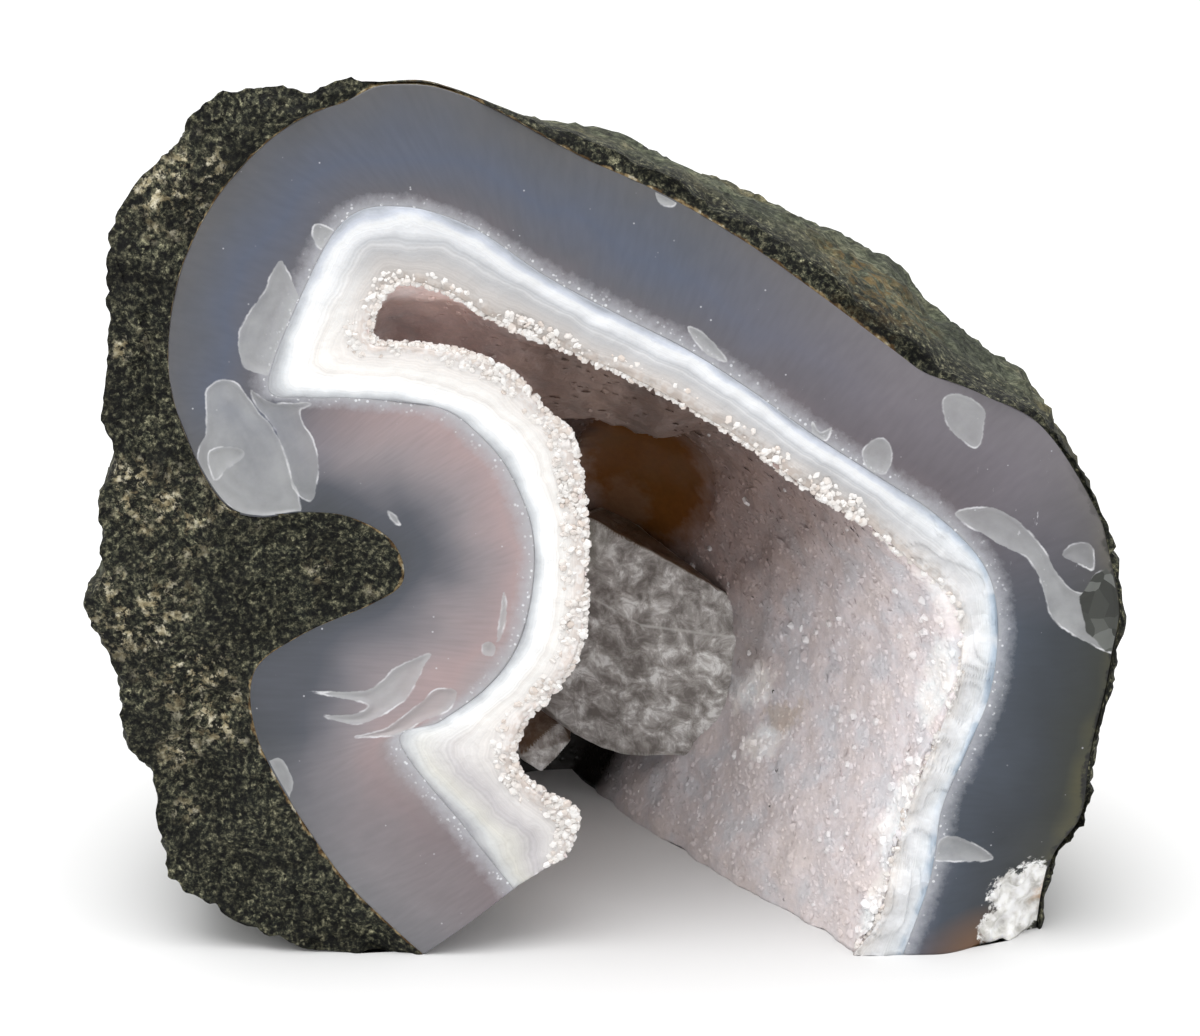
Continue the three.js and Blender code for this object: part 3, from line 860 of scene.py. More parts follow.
GLASSY = (
    (46.2, 37.4), (47.5, 39.8), (48.8, 40.6), (49.9, 39.2), (51, 36.4), (50.8, 32.2), (49, 31.9),
    (47, 34),
)
PATCH = (
    (39.9, 8.1), (41.8, 9.4), (43.2, 9.8), (44.2, 8.5), (44.6, 6), (43.9, 4), (41.1, 1.5),
    (38.1, 0.9), (37.6, 2.4), (38.8, 4.9), (38.3, 6.5),
)
first_layer = [name for name in FLAKES if name not in SECOND_LAYER]
print(len(first_layer), "flakes, and", len(SECOND_LAYER), "that overlap them")

# %% [markdown]
# The agate is built as the basalt was, between its own two boundaries. It has more stations
# and rows, because the rims of the flakes are narrow. A normal map could fake the dishes,
# but pushed into the mesh they also catch the light from the side.

# %% Agate shape
STATIONS = np.linspace(0, LAST_STATION, 980)
hidden = np.meshgrid(STATIONS, HIDDEN_ROWS, indexing="ij")
outer = moved(agate_edge, *hidden, -OVERLAP)[:, ::-1]
inner = moved(band_side, *hidden, -OVERLAP)
strip, w, from_white = across_face(outer[:, -1], inner[:, 0], count=78)
sheet_x, sheet_z = as_seen(strip)
flake_1 = nearest_flake(sheet_x, sheet_z, first_layer)
flake_2 = nearest_flake(sheet_x, sheet_z, SECOND_LAYER)
near_patch = (sheet_x > 35) & (sheet_z < 12)
patch = away_from(rounded(PATCH), sheet_x, sheet_z, near_patch)
near_glassy = (sheet_x > 44) & (sheet_z > 29) & (sheet_z < 43)
glassy = away_from(np.array(GLASSY), sheet_x, sheet_z, near_glassy)
hold = smooth(w / 0.04) * smooth((1 - w) / 0.04)
crumbs = 0.9 * smooth(-patch / 0.8) * (0.6 + rough(strip, 1.6, 3, 50.0))
waves = 0.05 * rough(strip, 7, 2, 5.0)
strip[..., 1] += (dished(flake_1) + dished(flake_2) + waves - crumbs) * hold
values = {
    "across": along_rows(HIDDEN_ZEROS, w, HIDDEN_ZEROS + 1),
    "from_white": along_rows(HIDDEN_ZEROS + FAR, from_white, HIDDEN_ZEROS),
    "station": STATIONS[:, None] / LAST_STATION,
}
outlines = {"flake_1": flake_1, "flake_2": flake_2, "patch": patch, "glassy": glassy}
for label, away in outlines.items():
    values[label] = along_rows(HIDDEN_ZEROS + FAR, away, HIDDEN_ZEROS + FAR)
agate = shell_object("agate", outer, strip, inner, values)

# %% [markdown]
# The agate is a soft blue-grey that lets light a little way in. Next to the white band it
# turns mauve, and the right foot is a darker slate. Both follow the number across the strip
# and the station, so the colours run along the layers, as they do in the stone. A little
# light scattered under the surface gives the waxy depth.

# %% Agate finish
def agate_finish():
    """Blue-grey to mauve across the strip, slate at the right foot, paler flakes, bright rims."""
    wax = Finish("waxy_grey_agate")
    across, station, from_white = wax.value("across"), wax.value("station"), wax.value("from_white")
    wander = wax.patchy(9, 0.3, 0.7, -0.1, 0.1, detail=2)
    place = wax.sums("ADD", across, wander)
    arm = wax.ramp(
        place, (0.0, (0.085, 0.084, 0.088)), (0.2, (0.078, 0.083, 0.1)),
        (0.5, (0.074, 0.087, 0.125)), (0.78, (0.088, 0.088, 0.104)), (0.95, (0.11, 0.098, 0.11)),
        (1.0, (0.12, 0.105, 0.115)),
    )
    shoulder = wax.ramp(
        place, (0.0, (0.15, 0.138, 0.152)), (0.4, (0.135, 0.122, 0.14)),
        (0.8, (0.105, 0.092, 0.106)), (1.0, (0.12, 0.1, 0.11)),
    )
    slate = wax.ramp(
        place, (0.0, (0.05, 0.048, 0.022)), (0.14, (0.02, 0.023, 0.019)),
        (0.45, (0.024, 0.03, 0.038)), (0.85, (0.042, 0.053, 0.072)), (1.0, (0.08, 0.09, 0.12)),
    )
    lobe = wax.ramp(
        place, (0.0, (0.045, 0.05, 0.06)), (0.2, (0.062, 0.067, 0.083)),
        (0.38, (0.135, 0.13, 0.146)), (0.6, (0.235, 0.205, 0.215)), (0.85, (0.33, 0.25, 0.25)),
        (1.0, (0.3, 0.26, 0.265)),
    )
    foot = wax.ramp(
        place, (0.0, (0.155, 0.155, 0.166)), (0.3, (0.19, 0.176, 0.186)),
        (0.8, (0.175, 0.143, 0.15)), (1.0, (0.2, 0.175, 0.18)),
    )
    to_shoulder = wax.past(station, 21.5, 24.5)
    to_right = wax.past(station, 26.3, 28.2)
    to_lobe = wax.past(station, 14, 11.5)
    to_foot = wax.past(station, 4, 2)
    body = wax.mix(to_right, wax.mix(to_shoulder, arm, shoulder), slate)
    body = wax.mix(to_foot, wax.mix(to_lobe, body, lobe), foot)
    radial = wax.node("CombineXYZ", X=wax.times(station, 420.0), Y=wax.times(across, 5.0))
    fibres = wax.node("TexNoise", Vector=radial, Scale=1.0, Detail=3.0)
    body = wax.tint(body, wax.span(fibres, 0.3, 0.7, 0.94, 1.06))
    chewed = wax.patchy(1.6, 0.35, 0.65, -0.03, 0.03, detail=4, roughness=0.65)
    black_rim = wax.times(wax.span(wax.sums("ADD", across, chewed), 0.035, 0.01), to_right)
    body = wax.mix(black_rim, body, (0.003, 0.003, 0.002))
    glow = wax.times(spot(wax, (36, 3, -1.5), 6.5), 0.8)
    body = wax.mix(glow, body, (0.2, 0.1, 0.045))
    rim_wander = wax.patchy(0.9, 0.3, 0.7, -0.4, 0.4, detail=5, roughness=0.7)
    to_white = wax.sums("ADD", from_white, rim_wander)
    body = wax.mix(wax.span(to_white, 1.9, 0.1, 0.0, 0.72), body, (0.4, 0.41, 0.44))
    glitter = wax.times(wax.span(wax.cells(0.55), 0.3, 0.2), wax.span(to_white, 1.5, 0.35))
    glitter = wax.times(glitter, wax.patchy(0.7, 0.46, 0.54))
    body = wax.mix(wax.times(glitter, 0.8), body, (0.7, 0.71, 0.74))
    shaky = wax.patchy(1.3, 0.3, 0.7, -0.09, 0.09, detail=4, roughness=0.6)
    cloudy = wax.patchy(3, 0.35, 0.65, 0.78, 1.1, detail=4, roughness=0.6)
    uneven = wax.patchy(2.4, 0.45, 0.62, 0.0, 0.75, detail=3)
    for layer, milky in (("flake_1", 0.72), ("flake_2", 0.5)):
        away = wax.sums("ADD", wax.value(layer), shaky)
        inside = wax.span(away, 0.04, -0.04)
        deep = wax.span(away, -0.1, -3.0, 1.0, 0.78)
        veil = wax.times(inside, deep, wax.times(cloudy, milky))
        body = wax.mix(veil, body, (0.37, 0.375, 0.38))
        line = wax.span(wax.sums("ABSOLUTE", away, 0.0), 0.13, 0.02)
        body = wax.mix(wax.times(line, uneven), body, (0.66, 0.66, 0.68))
    # The glassy chip at the right edge is only painted: its cells of darker and lighter grey are
    # painted light, shade and highlights on facets that the mesh doesn't have.
    chip = wax.span(wax.sums("ADD", wax.value("glassy"), shaky), 0.06, -0.06)
    painted_facet_light = wax.ramp(
        wax.cells(2.6, out=1), (0.3, (0.02, 0.022, 0.018)), (0.6, (0.06, 0.064, 0.056)),
        (0.8, (0.2, 0.21, 0.2)),
    )
    body = wax.mix(chip, body, painted_facet_light)
    dust = wax.times(wax.span(wax.cells(1.3), 0.09, 0.05), wax.patchy(5, 0.52, 0.6))
    bevel = spot(wax, (44, 2, 46), 10)
    scratch = wax.patchy(1.1, 0.64, 0.68, detail=5, roughness=0.8, stretch=(1, 1, 0.35))
    dust = wax.sums("MAXIMUM", dust, wax.times(scratch, bevel))
    body = wax.mix(wax.times(dust, 0.6), body, (0.6, 0.6, 0.63))
    chalk = wax.ramp(
        wax.noise(1.2, detail=4), (0.35, (0.5, 0.49, 0.46)), (0.48, (0.72, 0.71, 0.69)),
        (0.6, (0.86, 0.86, 0.85)),
    )
    rusty = wax.times(spot(wax, (45.5, 5, 3.5), 3.4), wax.patchy(1.4, 0.45, 0.6, detail=3))
    chalk = wax.mix(wax.times(rusty, 0.8), chalk, (0.5, 0.27, 0.1))
    frayed = wax.sums("ADD", wax.value("patch"), wax.times(rim_wander, 1.8))
    body = wax.mix(wax.span(frayed, 0.25, -0.15), body, chalk)
    swell = wax.bump(wax.noise(5, detail=2), 0.25, 0.3)
    fine = wax.bump(wax.noise(0.4, detail=2), 0.015, 0.25, under=swell)
    return wax.dress(
        Base_Color=body, Roughness=0.34, Specular_IOR_Level=0.42, Normal=fine,
        Subsurface_Weight=0.25, Subsurface_Radius=(0.9, 0.9, 1.2), Subsurface_Scale=MM,
    )


finished(agate, agate_finish(), "agate_rind")
print("agate finish has", len(agate.data.materials[0].node_tree.nodes), "nodes")

# %% [markdown]
# ## The crust
# After the agate comes a white band of fine quartz, and then the crystals that line the
# hollow. The crust is one shell: its outer side is hidden, its strip on the broken face shows
# the bands, and its inner side is the wall of the hollow. That wall has a ledge on the back,
# above a pocket, and it is uneven all over, before any crystal is set on it.

# %% Crust shape
LEDGE_HEIGHT = 3.4
POCKET_DEPTH = 1.5
WALL_ROWS = np.linspace(0, 1, 110)


def wall_form(station, v):
    """Height of the hollow's wall over its even curve: a ledge above, a pocket below it."""
    across = smooth((station - 17) / 2) * smooth((22.8 - station) / 1)
    ledge = smooth((v - 0.1) / 0.16) * smooth((0.345 - v) / 0.035)
    pocket = np.exp(-(((station - 21) / 1.6) ** 2) - ((v - 0.47) / 0.09) ** 2)
    return LEDGE_HEIGHT * ledge * across - POCKET_DEPTH * pocket


def wall_lumps(points):
    """Swellings of the druse, a few millimetres across, in millimetres."""
    return 0.5 * rough(points, 6.5, 2, 21.0) + 0.25 * rough(points, 2.1, 2, 22.0)


def in_pocket(station, v):
    """1 in the pocket below the ledge, which is smooth, and 0 away from it."""
    reach = ((station - 21.9) / 1.5) ** 2 + ((v - 0.53) / 0.13) ** 2
    return smooth((1.3 - reach) / 0.5)


def druse_wall(station, v):
    """The wall of the hollow with its ledge, pocket and swellings."""
    plain = hollow_side(station, v)
    fade = smooth(v / 0.05) * (1 - v**6) * (1 - 0.8 * in_pocket(station, v))
    return moved(hollow_side, station, v, -wall_form(station, v) - (wall_lumps(plain) + 0.4) * fade)


STATIONS = np.linspace(0, LAST_STATION, 560)
hidden = np.meshgrid(STATIONS, HIDDEN_ROWS, indexing="ij")
u, v = np.meshgrid(STATIONS, WALL_ROWS, indexing="ij")
inner = druse_wall(u, v)
outer = moved(band_side, *hidden, -OVERLAP)[:, ::-1]
strip, w, from_lip = across_face(outer[:, -1], inner[:, 0], count=50)
beads = np.abs(lattice_noise(strip, 0.9, 31.0)) * smooth((1.6 - from_lip) / 0.8)
steps = 0.3 * rough(strip, 3.5, 3, 33.0)
ledges = 0.22 * np.round(2.5 * rough(strip, 5.5, 2, 41.0))
steps += ledges * smooth(STATIONS - 25)[:, None] * smooth((1 - w) / 0.1)
strip[..., 1] += (steps - 0.45 * beads) * smooth(w / 0.08) - OVERLAP
values = {
    "across": along_rows(HIDDEN_ZEROS, w, 0 * WALL_ROWS + 1),
    "from_lip": along_rows(HIDDEN_ZEROS + FAR, from_lip, -WALL_ROWS),
    "station": STATIONS[:, None] / LAST_STATION,
    "pocket": along_rows(HIDDEN_ZEROS, 0 * w, in_pocket(u, v)),
    "inwards": along_rows(HIDDEN_ZEROS, 0 * w, WALL_ROWS),
}
crust = shell_object("crust", outer, strip, inner, values)

# %% [markdown]
# The strip goes from clear grey to bright white, then to a milky grey, and ends in cream
# coloured grains at the lip of the hollow. On the left the white is wider and brighter. The
# bands are a colour ramp over the number across the strip, bent a little by noise. The wall
# of the hollow has tones along the arch, and named parts that are soft discs on a flat map;
# some of these tones and parts are painted light and shade.

# %% Crust finish
# The tones are partly the wall's own colour and partly painted light and shade: the lighter pink at
# stations 15.5 to 18.3 is painted light at the far left of the hollow, lit through the translucent
# stone, and the darker browns from 19.2 to 24.7 are painted shade on the roof of the hollow.
WALL_TONES = [
    (0, (0.6, 0.55, 0.545)), (15.5, (0.72, 0.63, 0.6)), (18.3, (0.78, 0.6, 0.56)),
    (19.2, (0.55, 0.42, 0.38)), (19.9, (0.28, 0.2, 0.17)), (20.8, (0.26, 0.19, 0.16)),
    (21.4, (0.13, 0.09, 0.075)), (22.3, (0.17, 0.12, 0.1)), (23.4, (0.26, 0.19, 0.17)),
    (24.7, (0.33, 0.265, 0.25)), (25.3, (0.5, 0.435, 0.425)), (26, (0.66, 0.61, 0.615)),
    (28, (0.7, 0.655, 0.66)), (33, (0.64, 0.59, 0.585)),
]
WALL_PARTS = [
    # The first two parts are painted shadow and painted shade under the overhanging ledge.
    ("painted shadow under the ledge", 21.6, 0.37, 3.6, (0.008, 0.005, 0.004), 0.97),
    ("painted shade beside the pocket", 20.4, 0.45, 5, (0.045, 0.025, 0.02), 0.95),
    ("amber pocket", 21.9, 0.53, 9, (0.115, 0.042, 0.006), 0.97),
    ("scratched glassy part", 21.6, 0.59, 3.5, (0.15, 0.085, 0.05), 0.7),
    ("grey beside the calcite", 26.1, 0.52, 5, (0.4, 0.365, 0.355), 0.7),
    ("white growth beside the calcite", 26.9, 0.49, 3.0, (0.95, 0.94, 0.93), 0.95),
    ("white growth below the window", 28.2, 0.46, 2.6, (0.95, 0.94, 0.93), 0.9),
    ("beige window", 27.65, 0.43, 2.2, (0.6, 0.52, 0.45), 0.75),
    ("pale right shoulder", 26.7, 0.03, 3.2, (0.78, 0.76, 0.75), 0.75),
    ("white growth at the right lip", 28.2, 0.09, 4.6, (0.84, 0.84, 0.82), 0.85),
    ("white growth further down", 30.2, 0.11, 5.2, (0.88, 0.88, 0.87), 0.9),
    ("white growth at the foot", 31.9, 0.08, 5, (0.8, 0.79, 0.77), 0.8),
]
MAP_WIDTH = 172.0
MAP_HEIGHT = 60.0
MAP_WANDER = 5.0


def wall_painted(finish):
    """The wall's colour, painted light and shade included: a ramp over the stations, then its
    parts, and painted shade deep at the back. The parts are soft discs on a flat map of the
    wall, as wide in mm as they look: station across, depth upwards."""
    ragged = finish.node(
        "TexNoise", out=1, Vector=finish.place(), Scale=1 / (2.2 * MM), Detail=4.0, Roughness=0.62,
    )
    wide = finish.node("CombineXYZ", X=finish.value("station"), Y=finish.value("inwards"))
    flat = finish.vectors("MULTIPLY", i0=wide, i1=(MAP_WIDTH, MAP_HEIGHT, 0))
    on_map = finish.vectors("MULTIPLY_ADD", i0=ragged, i1=(MAP_WANDER, MAP_WANDER, 0), i2=flat)
    shift = MAP_WANDER / 2
    tones = []
    for s, colour in WALL_TONES:
        tones.append(((s * MAP_WIDTH / LAST_STATION + shift) / (MAP_WIDTH + MAP_WANDER), colour))
    x = finish.node("SeparateXYZ", Vector=on_map)
    body = finish.ramp(finish.span(x, 0.0, MAP_WIDTH + MAP_WANDER), *tones)
    for _, s, v, radius, colour, amount in WALL_PARTS:
        middle = (s * MAP_WIDTH / LAST_STATION + shift, v * MAP_HEIGHT + shift, 0)
        away = finish.vectors("DISTANCE", out=1, i0=on_map, i1=middle)
        body = finish.mix(finish.span(away, radius, 0.6 * radius, 0.0, amount), body, colour)
    # Painted shade: deep at the back, near the pole and under the calcite, the wall is painted
    # nearly black for the shade that fills it.
    body = finish.mix(finish.span(finish.value("inwards"), 0.71, 0.79), body, (0.01, 0.008, 0.006))
    mottle = finish.ramp(
        finish.noise(4, detail=4, roughness=0.55), (0.36, (0.93, 0.97, 1.0)),
        (0.5, (1, 0.98, 0.985)), (0.64, (1, 0.96, 0.935)),
    )
    sugar = finish.patchy(0.6, 0.35, 0.65, 0.93, 1.07, detail=3, roughness=0.7)
    return finish.tint(finish.tint(body, mottle), sugar)


def crust_finish():
    """Bands across the strip, and pale pink-grey quartz inside, browner in the pocket."""
    band = Finish("banded_white_quartz")
    across, station, from_lip = band.value("across"), band.value("station"), band.value("from_lip")
    wander = band.patchy(4.5, 0.3, 0.7, -0.06, 0.06, detail=3)
    place = band.sums("ADD", across, wander)
    arm = band.ramp(
        place, (0.0, (0.34, 0.36, 0.4)), (0.08, (0.5, 0.53, 0.6)), (0.16, (0.7, 0.71, 0.72)),
        (0.28, (0.64, 0.65, 0.67)), (0.38, (0.44, 0.45, 0.47)), (0.46, (0.52, 0.52, 0.53)),
        (0.54, (0.42, 0.42, 0.43)), (0.7, (0.47, 0.45, 0.44)), (1.0, (0.46, 0.42, 0.39)),
    )
    left = band.ramp(
        place, (0.0, (0.36, 0.37, 0.39)), (0.09, (0.56, 0.58, 0.6)), (0.2, (0.8, 0.81, 0.82)),
        (0.4, (0.8, 0.795, 0.785)), (0.5, (0.71, 0.685, 0.66)), (0.58, (0.76, 0.745, 0.725)),
        (0.72, (0.71, 0.68, 0.655)), (0.85, (0.7, 0.67, 0.65)), (1.0, (0.66, 0.62, 0.6)),
    )
    right = band.ramp(
        place, (0.0, (0.28, 0.34, 0.41)), (0.08, (0.42, 0.49, 0.57)), (0.2, (0.61, 0.64, 0.67)),
        (0.4, (0.62, 0.63, 0.64)), (0.6, (0.62, 0.62, 0.63)), (0.8, (0.66, 0.645, 0.635)),
        (1.0, (0.66, 0.63, 0.61)),
    )
    foot = band.ramp(
        place, (0.0, (0.33, 0.33, 0.35)), (0.1, (0.52, 0.53, 0.53)), (0.22, (0.56, 0.55, 0.51)),
        (0.45, (0.47, 0.45, 0.46)), (0.7, (0.62, 0.6, 0.59)), (1.0, (0.62, 0.57, 0.54)),
    )
    to_left = band.past(station, 17.0, 15.6)
    to_right = band.past(station, 25, 27.5)
    to_foot = band.past(station, 4, 2.6)
    face = band.mix(to_foot, band.mix(to_left, band.mix(to_right, arm, right), left), foot)
    fine_lines = band.node(
        "TexNoise", settings={"noise_dimensions": "1D"}, W=band.times(place, 34.0), Scale=1.0,
        Detail=2.0,
    )
    face = band.tint(face, band.span(fine_lines, 0.3, 0.7, 0.94, 1.05))
    cracks = band.patchy(2.6, 0.35, 0.65, 0.86, 1.08, detail=5, roughness=0.65)
    slabs = band.cells(3.4, where=band.wobbled(2.5, 0.8))
    split = band.mix(band.span(slabs, 0.5, 0.62, 0.0, 0.5), face, (0.72, 0.73, 0.75))
    shade = band.cells(3.4, out=1, where=band.wobbled(2.5, 0.8))
    split = band.tint(split, band.span(shade, 0.2, 0.8, 0.93, 1.08))
    face = band.mix(to_right, face, split)
    cracked = band.sums("MAXIMUM", to_right, band.span(from_lip, 2.2, 1.0))
    face = band.mix(cracked, face, band.tint(face, cracks))
    bubble = band.cells(0.85)
    belt = band.times(
        band.span(from_lip, 1.5, 0.7), band.sums("SUBTRACT", 1.0, band.times(to_right, 0.6)),
    )
    ring = band.ramp(
        bubble, (0.1, (0.85, 0.8, 0.76)), (0.3, (1, 1, 1)), (0.42, (1, 1, 1)),
        (0.55, (0.87, 0.81, 0.77)),
    )
    face = band.mix(band.times(belt, 0.8), face, band.tint(face, ring))
    body = band.mix(band.span(from_lip, 0.03, -0.02), face, wall_painted(band))
    glass = band.span(band.value("pocket"), 0.0, 1.0)
    swell = band.bump(
        band.noise(1.5, detail=4, roughness=0.6), 0.35, band.span(glass, 0.0, 1.0, 0.6, 0.1),
    )
    relief = band.bump(
        band.noise(0.45, detail=2), 0.06, band.span(glass, 0.0, 1.0, 0.5, 0.05), under=swell,
    )
    roughness = band.span(glass, 0.0, 1.0, 0.36, 0.2)
    return band.dress(
        Base_Color=body, Roughness=roughness, Specular_IOR_Level=0.5, Normal=relief,
        Subsurface_Weight=0.2, Subsurface_Radius=(1.0, 0.9, 0.8), Subsurface_Scale=MM,
    )


finished(crust, crust_finish(), "quartz_crust")
print("the ledge stands", LEDGE_HEIGHT, "mm out of the back wall")

# %% [markdown]
# ## The druse
# Thousands of small quartz points cover the wall. A large one is a six-sided prism with a
# six-sided tip. Of a fine one only the tip shows, so it is a tip with its mirror image below.
# We could scatter instances with Geometry Nodes, but the export wants real meshes, so we
# place all points at once: one crystal's corners, turned by an array of frames and added to
# an array of places, gives every corner of every crystal.

# %% Crystals from arrays
RNG = np.random.default_rng(20)
SIX = np.arange(6) * np.pi / 3
RING = np.column_stack([np.cos(SIX), np.sin(SIX), 0 * SIX])
PRISM = np.vstack([RING - (0, 0, 0.6), RING + (0, 0, 0.25), [(0, 0, 1.0)]])
PRISM_FACES = [(k, (k + 1) % 6, 6 + (k + 1) % 6, 6 + k) for k in range(6)]
PRISM_FACES += [(6 + k, 6 + (k + 1) % 6, 12) for k in range(6)]
PRISM_FACES += [(5, 4, 3, 2, 1, 0)]
POINT = np.vstack([RING, [(0, 0, 1.0)], [(0, 0, -1.0)]])
POINT_FACES = [(k, (k + 1) % 6, 6) for k in range(6)] + [((k + 1) % 6, k, 7) for k in range(6)]
TIP_SHIFT = 0.25


def crystals_object(name, form, places, directions, radii, lengths, values):
    """One crystal for each place: its axis along the direction, turned about it at random,
    its sides of uneven width and its tip off the middle, as quartz grows."""
    corners, form_faces = form
    count, ring = len(places), len(corners) // 6 * 6
    axis = directions / np.linalg.norm(directions, axis=1, keepdims=True)
    helper = np.where(np.abs(axis[:, 2:]) < 0.9, (0.0, 0, 1), (1.0, 0, 0))
    first = np.cross(axis, helper)
    first /= np.linalg.norm(first, axis=1, keepdims=True)
    second = np.cross(axis, first)
    spin = RNG.uniform(0, np.pi / 3, count)[:, None]
    e1 = first * np.cos(spin) + second * np.sin(spin)
    e2 = np.cross(axis, e1)
    shape = np.repeat(corners[None], count, 0)
    shape[:, :ring, :2] *= RNG.uniform(0.75, 1.2, (count, 1, 2))
    shape[:, ring, :2] = RNG.uniform(-TIP_SHIFT, TIP_SHIFT, (count, 2))
    sized = shape * np.stack([radii, radii, lengths], 1)[:, None]
    placed = places[:, None] + sized[..., :1] * e1[:, None]
    placed = placed + sized[..., 1:2] * e2[:, None] + sized[..., 2:] * axis[:, None]
    starts = np.arange(count) * len(corners)
    faces = []
    for face in form_faces:
        faces += (starts[:, None] + np.array(face)).tolist()
    on_points = {label: np.repeat(numbers, len(corners)) for label, numbers in values.items()}
    return mesh_object(name, placed.reshape(-1, 3), faces, on_points, smooth_shaded=False)


def spread_over(side, count, low, high):
    """Places spread evenly over a boundary: cells are drawn in proportion to their area."""
    stations, depths = np.linspace(0, LAST_STATION, 200), np.linspace(low, high, 90)
    s, d = np.meshgrid(stations, depths, indexing="ij")
    grid = side(s, d)
    along, inwards = grid[1:, :-1] - grid[:-1, :-1], grid[:-1, 1:] - grid[:-1, :-1]
    area = np.linalg.norm(np.cross(along, inwards), axis=-1)
    chance = area.ravel() / area.sum()
    pick = RNG.choice(area.size, count, p=chance)
    i, j = np.unravel_index(pick, area.shape)
    station = s[i, 0] + RNG.uniform(0, 1, count) * (s[1, 0] - s[0, 0])
    v = d[0, j] + RNG.uniform(0, 1, count) * (d[0, 1] - d[0, 0])
    return station, v


def planted(name, form, station, v, radii, tall, depth, spread):
    """Crystals on the wall of the hollow, sunk by a part of their width, pointing inwards."""
    count = len(station)
    into_hollow = -outward(hollow_side, station, v)
    places = druse_wall(station, v) - into_hollow * (radii * depth)[:, None]
    directions = into_hollow + RNG.normal(0, spread, (count, 3))
    on_roof = smooth((station - 15.5) / 1.5) * smooth((24.5 - station) / 1.5)
    under_roof = on_roof * smooth((0.36 - v) / 0.06)
    smoother = np.maximum(1.1 * in_pocket(station, v), 0.85 * under_roof)
    keep = (places[:, 2] > 0.9) & (RNG.uniform(0, 1, count) > smoother)
    tone = RNG.uniform(0, 1, count)
    values = {"tone": tone[keep], "station": station[keep] / LAST_STATION, "inwards": v[keep]}
    sizes = radii[keep], (radii * tall)[keep]
    return crystals_object(name, form, places[keep], directions[keep], *sizes, values)


DRUSE_COUNT = 15000
station, v = spread_over(hollow_side, DRUSE_COUNT, 0.0, 0.98)
# Half of the points have a radius of more than 0.35 mm, whose logarithm is -1.05
radii = np.clip(RNG.lognormal(-1.05, 0.28, DRUSE_COUNT), 0.2, 0.7)
tall = RNG.uniform(0.22, 0.42, DRUSE_COUNT)
druse = planted("druse", (POINT, POINT_FACES), station, v, radii, tall, depth=0.12, spread=0.22)
print(
    "druse:", len(druse.data.vertices) // len(POINT), "crystals, the widest",
    (2 * radii.max()).round(2), "mm",
)

# %% [markdown]
# The points are clear to milky quartz, pink-grey from the wall under them. A few show white,
# a painted glint for the light that they catch. Each crystal carries one random number, its
# tone, so that neighbours differ, and the colour of the wall shows through by the same named
# spots, its painted shade included.

# %% Druse finish
def quartz_finish():
    """Pink-grey points, a few with a painted white glint, browner in the pocket, painted shade
    under the roof.
    """
    quartz = Finish("sugary_quartz_points")
    tone = quartz.value("tone")
    body = quartz.tint(wall_painted(quartz), quartz.span(tone, 0.0, 1.0, 0.97, 1.03))
    # Painted glint: a few points are painted paler, as if they caught the light.
    painted_glint = quartz.times(quartz.span(tone, 0.992, 0.995), 0.5)
    body = quartz.mix(painted_glint, body, (0.8, 0.8, 0.81))
    specks = quartz.times(quartz.span(quartz.cells(2.2), 0.13, 0.09), quartz.patchy(5, 0.54, 0.6))
    body = quartz.mix(specks, body, (0.02, 0.015, 0.012))
    return quartz.dress(
        Base_Color=body, Roughness=0.35, Specular_IOR_Level=0.45,
    )


sugar = quartz_finish()
finished(druse, sugar, None)
print("the wall has", len(WALL_PARTS), "painted parts")

# %% [markdown]
# A few larger crystals and chips stand out white against the fine sugar. They crowd along
# the side of the calcite and near the right lip, so we draw their stations and depths round
# a few named middles, and the rest anywhere on the wall.

# %% White chips
CHIP_MIDDLES = [
    (26.4, 0.36, 5), (27.2, 0.12, 12), (29.5, 0.12, 14), (31.5, 0.1, 10), (30.6, 0.3, 6),
    (28.4, 0.3, 5),
]
CHIPS_ANYWHERE = 50
station, v = spread_over(hollow_side, CHIPS_ANYWHERE, 0.03, 0.6)
crowds = [(RNG.normal(s, 0.35, n), RNG.normal(d, 0.03, n)) for s, d, n in CHIP_MIDDLES]
station = np.concatenate([station, *[s for s, d in crowds]])
v = np.clip(np.concatenate([v, *[d for s, d in crowds]]), 0.02, 0.95)
radii = RNG.uniform(0.22, 0.6, len(station))
tall = RNG.uniform(0.7, 1.5, len(station))
chips = planted("white_chips", (PRISM, PRISM_FACES), station, v, radii, tall, depth=0.1, spread=0.7)


def chip_finish():
    """White and glassy, a little greyer from chip to chip. Some of the wall's colour, with its
    painted shade, lies over them, so that chips in the shaded parts stay quiet."""
    chip = Finish("white_quartz_chips")
    body = chip.ramp(
        chip.value("tone"), (0.0, (0.7, 0.68, 0.68)), (0.6, (0.82, 0.81, 0.81)),
        (1.0, (0.88, 0.89, 0.91)),
    )
    return chip.dress(
        Base_Color=chip.mix(0.4, body, wall_painted(chip)), Roughness=0.2, Specular_IOR_Level=0.55,
    )


finished(chips, chip_finish(), None)
print("chips:", len(chips.data.vertices) // len(PRISM))

# %% [markdown]
# ## The grains at the lip
# Along the lip of the hollow the crystals are cut by the break, and show as a string of
# small cream grains. They are the same prisms, smaller and closer, set within about two
# millimetres of the lip and pointing out of the broken face.

